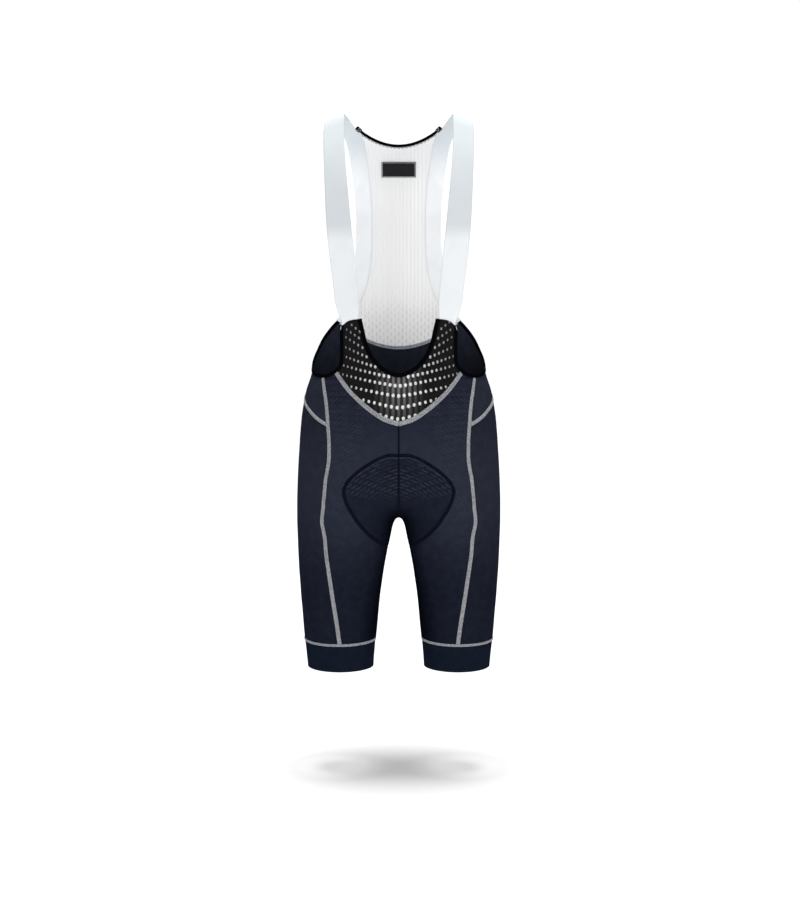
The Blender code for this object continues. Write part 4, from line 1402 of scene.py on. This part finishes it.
def nape_details():
    """Picot edge under the neck binding, a bar tack at each end, and the bib's cover stitch."""
    path, normals = nape_route()
    ups = frames(path, normals)
    if ups[len(path) // 2].z < 0:
        ups = [-up for up in ups]
    last = len(path) - 1
    loops = []
    for k in range(8, last - 7, 3):
        along = (path[k + 1] - path[k - 1]).normalized()
        for shift in (-PICOT_GAP, PICOT_GAP):
            start = path[k] + ups[k] * PICOT_START + normals[k] * shift
            loops.append([start + along * PICOT_HALF * math.cos(math.pi * step / 8)
                          - ups[k] * PICOT_DROP * math.sin(math.pi * step / 8) for step in range(9)])
    threads("neck_picot", loops, TACK_THREAD, BLACK_YARN)
    start, tip = (path[k] + ups[k] * NAPE_BINDING * TACK_PLACE for k in (last - 4, last))
    run = (tip - start).normalized()
    out = normals[last - 2]
    rise = run.cross(out).normalized()
    length = (tip - start).length + 1.2 * MM
    steps = TACK_TURNS * TACK_CORNERS
    coil = [start + run * length * k / steps
            + rise * TACK_HALF * math.cos(2 * math.pi * k / TACK_CORNERS)
            + out * TACK_DEPTH * math.sin(2 * math.pi * k / TACK_CORNERS) for k in range(steps + 1)]
    threads("neck_bar_tacks", [coil], TACK_THREAD, BLACK_YARN, both=True)
    specks = []
    for along, up in SPECK_PLACES:
        speck = start + run * along * MM + rise * up * MM - out * SPECK_LIFT
        specks.append([speck, speck + run * 1.3 * MM + rise * 0.7 * MM])
    threads("neck_tack_specks", specks, 0.35 * MM, WHITE_YARN, both=True)
    edge = [bib_point(1.0, k / EDGE_STEPS) for k in range(3, EDGE_STEPS + 1)]
    outs = [outward(point) for point in edge]
    for word, sign, depth in (("inner", -1, MESH + 0.1 * MM), ("outer", 1, -0.25 * MM)):
        route = [point - out * depth for point, out in zip(edge, outs)], [out * sign for out in outs]
        threads(f"bib_edge_stitch_{word}", [zigzag(route, 3.0 * MM, 1.6 * MM, 0.15 * MM)], EDGE_THREAD,
                WHITE_YARN, 1, 1, both=True)


def strap_foot_ends(foot):
    """Corners of the strap's foot, which reach across the bindings on both sides of it."""
    inner = foot[-1] + (foot[-1] - foot[-2]).normalized() * NECK_BINDING
    outer = foot[0] + (foot[0] - foot[1]).normalized() * SIDE_BINDING
    return inner, outer + outward(foot[0]) * FOOT_LIFT - UP * FOOT_DROP


def strap(seams, side, name):
    """Flat elastic from the front mesh over the shoulder and down the bib's edge."""
    foot = [body(*point) for point in seams["foot"]]
    inner = [foot[-1]] + [Vector(row.inner) * MM for row in STRAP_ROWS]
    outer = [foot[0]] + [Vector(row.outer) * MM for row in STRAP_ROWS]
    inner += [back_point(row.mesh, row.z) for row in BIB]
    outer += [back_point(row.edge, row.z - BIB_EDGE_DROP) for row in BIB]
    inner = curve_through(inner + [body(*bib_seam_point(BIB_FOOT.mesh))], STRAP_STEPS)
    outer = curve_through(outer + [body(*bib_seam_point(BIB_FOOT.edge))], STRAP_STEPS)
    inner[0], outer[0] = strap_foot_ends(foot)
    foot_even = even([inner[0]] + foot[::-1] + [outer[0]], STRAP_COLUMNS)
    first, last = STRAP_STEPS * (len(STRAP_ROWS) - 2), STRAP_STEPS * (len(STRAP_ROWS) + 3)
    for _ in range(STRAP_EASINGS):
        outer[first:last] = [(outer[k - 1] + 2 * outer[k] + outer[k + 1]) / 4
                             for k in range(first, last)]
    lengths = run_lengths(inner)

    def place(i, j):
        part = i / STRAP_COLUMNS
        point = inner[j].lerp(outer[j], part)
        if j < 3:
            point += (foot_even[i] - inner[0].lerp(outer[0], part)) * (1 - j / 3) ** 2
        return point, Vector((part * (outer[j] - inner[j]).length, lengths[j], 0.0))

    return sheet(name, STRAP_COLUMNS, len(inner) - 1, place, shoulder_core,
                 STRAP_ELASTIC, STRAP, side, kind="elastic")


# ---------------------------------------------------------------- pad and tag

def pad_spine():
    """Points and lengths down the pad's middle, from its front end round to the back."""
    front = centre_line(PAD_TOP_Z * MM, SPINE_STEPS, behind=False)
    back = centre_line(HIP_SEAM[-1].z * MM, SPINE_STEPS, behind=True)
    line = [body(*place) for place in front + back[-2::-1]]
    for point in line:
        point.x = 0.0
    return line, run_lengths(line)


def pad_half(along):
    return smooth([-row.along for row in PAD_ROWS], [row.half for row in PAD_ROWS], -along)


def pad_point(spine, along, half):
    """Point of the smooth form beside the pad's spine; distances in millimetres."""
    points, lengths = spine
    k, t = stretch_at(lengths, along * MM)
    start = points[k].lerp(points[k + 1], t)
    return walk(start, half * MM) if half > 0.001 else start


def pad_edge_path(spine):
    """The +X half of the pad's outline, from its front to its back end."""
    stops = [PAD_LENGTH * k / PAD_EDGE_STEPS for k in range(1, PAD_EDGE_STEPS + 1)]
    rows = [(0, max(pad_half(0) * k / 4, 0.01)) for k in range(5)]
    rows += [(along, pad_half(along)) for along in stops]
    rows += [(PAD_LENGTH, max(pad_half(PAD_LENGTH) * k / 4, 0.01)) for k in (3, 2, 1, 0)]
    return every([pad_point(spine, along, half) for along, half in rows], ROUTE_PITCH)


def pad_thickness(part, along):
    """Moulded profile: a thin edge, two long cushions and a channel between them."""
    near = min((1 - abs(part)) / 0.055, along / 0.014, (1 - along) / 0.014, 1.0)
    rim = ease(min(1.0, (1 - abs(part)) / 0.22))
    ends = min(1.0, along / 0.08, (1 - along) / 0.08)
    groove = bell(part, 0.10) * 0.5 + bell(abs(part) - 0.62, 0.06) * 0.35
    return PAD_RIM * near + PAD_CUSHION * rim * ends * (1 - groove)


def crotch_pad(spine):
    """Closed foam form, its outside against the panels and its rims drawn to an edge."""
    def place(i, j):
        turn = i / (2 * PAD_COLUMNS)
        inner = turn > 0.5
        part = 4 * turn - 3 if inner else 1 - 4 * turn
        along = j / PAD_STEPS
        half = pad_half(PAD_LENGTH * along)
        point = pad_point(spine, PAD_LENGTH * along, abs(part) * half)
        point = point - outward(point) * (PAD_DEPTH + (pad_thickness(part, along) if inner else 0.0))
        point.x = math.copysign(point.x, part)
        return point, Vector((part * half, PAD_LENGTH * along, 0.0)) * MM

    bm = cloth_grid(2 * PAD_COLUMNS, PAD_STEPS, place, around=True)
    bmesh.ops.recalc_face_normals(bm, faces=bm.faces[:])
    return finished("crotch_pad_foam", bm, "crotch_pad", PAD_COVER)


def bib_tag():
    def place(i, j):
        x = TAG_WIDTH * (i / TAG_COLUMNS - 0.5)
        z = TAG_TOP + (TAG_BOTTOM - TAG_TOP) * j / TAG_ROWS
        point = back_point(x, z)
        return point - outward(point) * TAG_DEPTH, Vector((x, z, 0.0)) * MM

    return sheet("bib_tag", TAG_COLUMNS, TAG_ROWS, place, trunk_core, TAG_WEAVE, TAG)


def tag_border():
    """Running stitch round the tag."""
    half = TAG_WIDTH / 2 - TAG_STITCH_INSET
    top, bottom = TAG_TOP - TAG_STITCH_INSET, TAG_BOTTOM + TAG_STITCH_INSET
    corners = [Vector(corner) for corner in
               ((-half, top), (half, top), (half, bottom), (-half, bottom), (-half, top))]
    stitches = []
    for a, b in zip(corners, corners[1:]):
        count = round((b - a).length / TAG_STITCH)
        for k in range(count):
            stitch = []
            for t, lift in ((0.1, 0.10), (0.475, 0.45), (0.85, 0.10)):
                point = back_point(*a.lerp(b, (k + t) / count))
                stitch.append(point - outward(point) * (TAG_DEPTH + TAG + lift * MM))
            stitches.append(stitch)
    threads("tag_border", stitches, EDGE_THREAD, WHITE_YARN)


# ---------------------------------------------------------------- whole garment

SEAMS = seam_samples()
SPINE = pad_spine()
PAD_EDGE = pad_edge_path(SPINE)
EDGE_NORMALS = [outward(point) for point in PAD_EDGE]
PAD_AWAY = frames(PAD_EDGE, EDGE_NORMALS)
if PAD_AWAY[len(PAD_AWAY) // 4].x < 0:
    PAD_AWAY = [-away for away in PAD_AWAY]
PAD_TREE = KDTree(len(PAD_EDGE))
for k, point in enumerate(PAD_EDGE):
    PAD_TREE.insert(point, k)
PAD_TREE.balance()
PAD_ROUTE = [skin(point, BED_LIFT) for point in PAD_EDGE], EDGE_NORMALS


for side, word in ((1, "left"), (-1, "right")):
    front_panel(SEAMS, side, f"front_panel_{word}")
    side_panel(SEAMS, side, f"side_panel_{word}")
    leg_band(SEAMS, side, f"leg_band_{word}")
    side_binding(SEAMS, side, f"side_binding_{word}")
    strap(SEAMS, side, f"strap_{word}")
    seams_of_leg(SEAMS, side, word)
    sew(f"v_seam_{word}", seam_route(SEAMS["v"]), V_STITCH, GREY_YARN, side=side)
    bib_seam(SEAMS, side, word)
    sew(f"pad_stitch_bed_{word}", PAD_ROUTE, ROPE_STITCH, ROPE_BED, side=side, over=ROPE_YARN,
        over_name=f"pad_stitch_{word}")
yoke(SEAMS)
mesh, lining = front_mesh_and_lining(SEAMS)
neck_binding(SEAMS)
back_bib()
nape_binding()
crotch_pad(SPINE)
bib_tag()
tag_border()
centre_seams(SEAMS)
nape_details()


# ---------------------------------------------------------------- floor, light and camera

def stage_floor():
    bm = bmesh.new()
    bmesh.ops.create_grid(bm, x_segments=2, y_segments=2, size=12.0)
    for vert in bm.verts:
        vert.co.z = FLOOR_Z
    look = Look("pale_floor", 0.9, specular=0.1)
    feed(look.shader["Base Color"], (0.80, 0.80, 0.80))
    shown("floor", bm, look.material)


def shine(name, kind, power, place, target, **settings):
    """A light at a place, turned to a target."""
    light = bpy.data.lights.new(name, kind)
    light.energy = power
    for setting, value in settings.items():
        setattr(light, setting, value)
    holder = placed(name, light)
    holder.location = place
    holder.rotation_euler = (Vector(target) - Vector(place)).to_track_quat("-Z", "Y").to_euler()


def softbox(name, place, size, power, target):
    shine(name, "AREA", power, place, target, shape="RECTANGLE", size=size[0], size_y=size[1])


def white_room(seen, lighting):
    """White walls: brighter to the eye than what they give the cloth."""
    world = bpy.data.worlds.new("white_room")
    bpy.context.scene.world = world
    world.use_nodes = True
    tree = world.node_tree
    walls = tree.nodes["Background"]
    feed(walls.inputs["Color"], (1.0, 1.0, 1.0))
    eye = Field(put(tree, "LightPath").outputs["Is Camera Ray"])
    feed(walls.inputs["Strength"], eye.node("MapRange", (eye, 0.0, 1.0, lighting, seen)))


stage_floor()
softbox("key", (2.1, -2.8, 0.8), (1.4, 2.4), 38, (0, 0, -0.5))
softbox("fill", (-2.0, -2.9, 0.6), (1.4, 2.4), 21, (0, 0, -0.5))
softbox("rim", (0.0, 3.0, 0.8), (2.6, 2.0), 20, (0, 0, -0.4))
shine("overhead", "SUN", 2.8, (0.0, 0.12, 3.0), (0.0, 0.0, 0.0), angle=math.radians(22))
white_room(1.1, 0.45)
bpy.context.scene.view_settings.view_transform = "Standard"

LOOKING_DOWN = 7.6          # degrees
camera = bpy.data.cameras.new("camera")
camera.lens = 96.7
camera.sensor_fit = "VERTICAL"
camera.sensor_height = 36.0
camera.clip_end = 50.0
view = placed("camera", camera)
view.location = (0.00215, -4.0, -0.02)
view.rotation_euler = (math.radians(90 - LOOKING_DOWN), 0.0, 0.0)
bpy.context.scene.camera = view
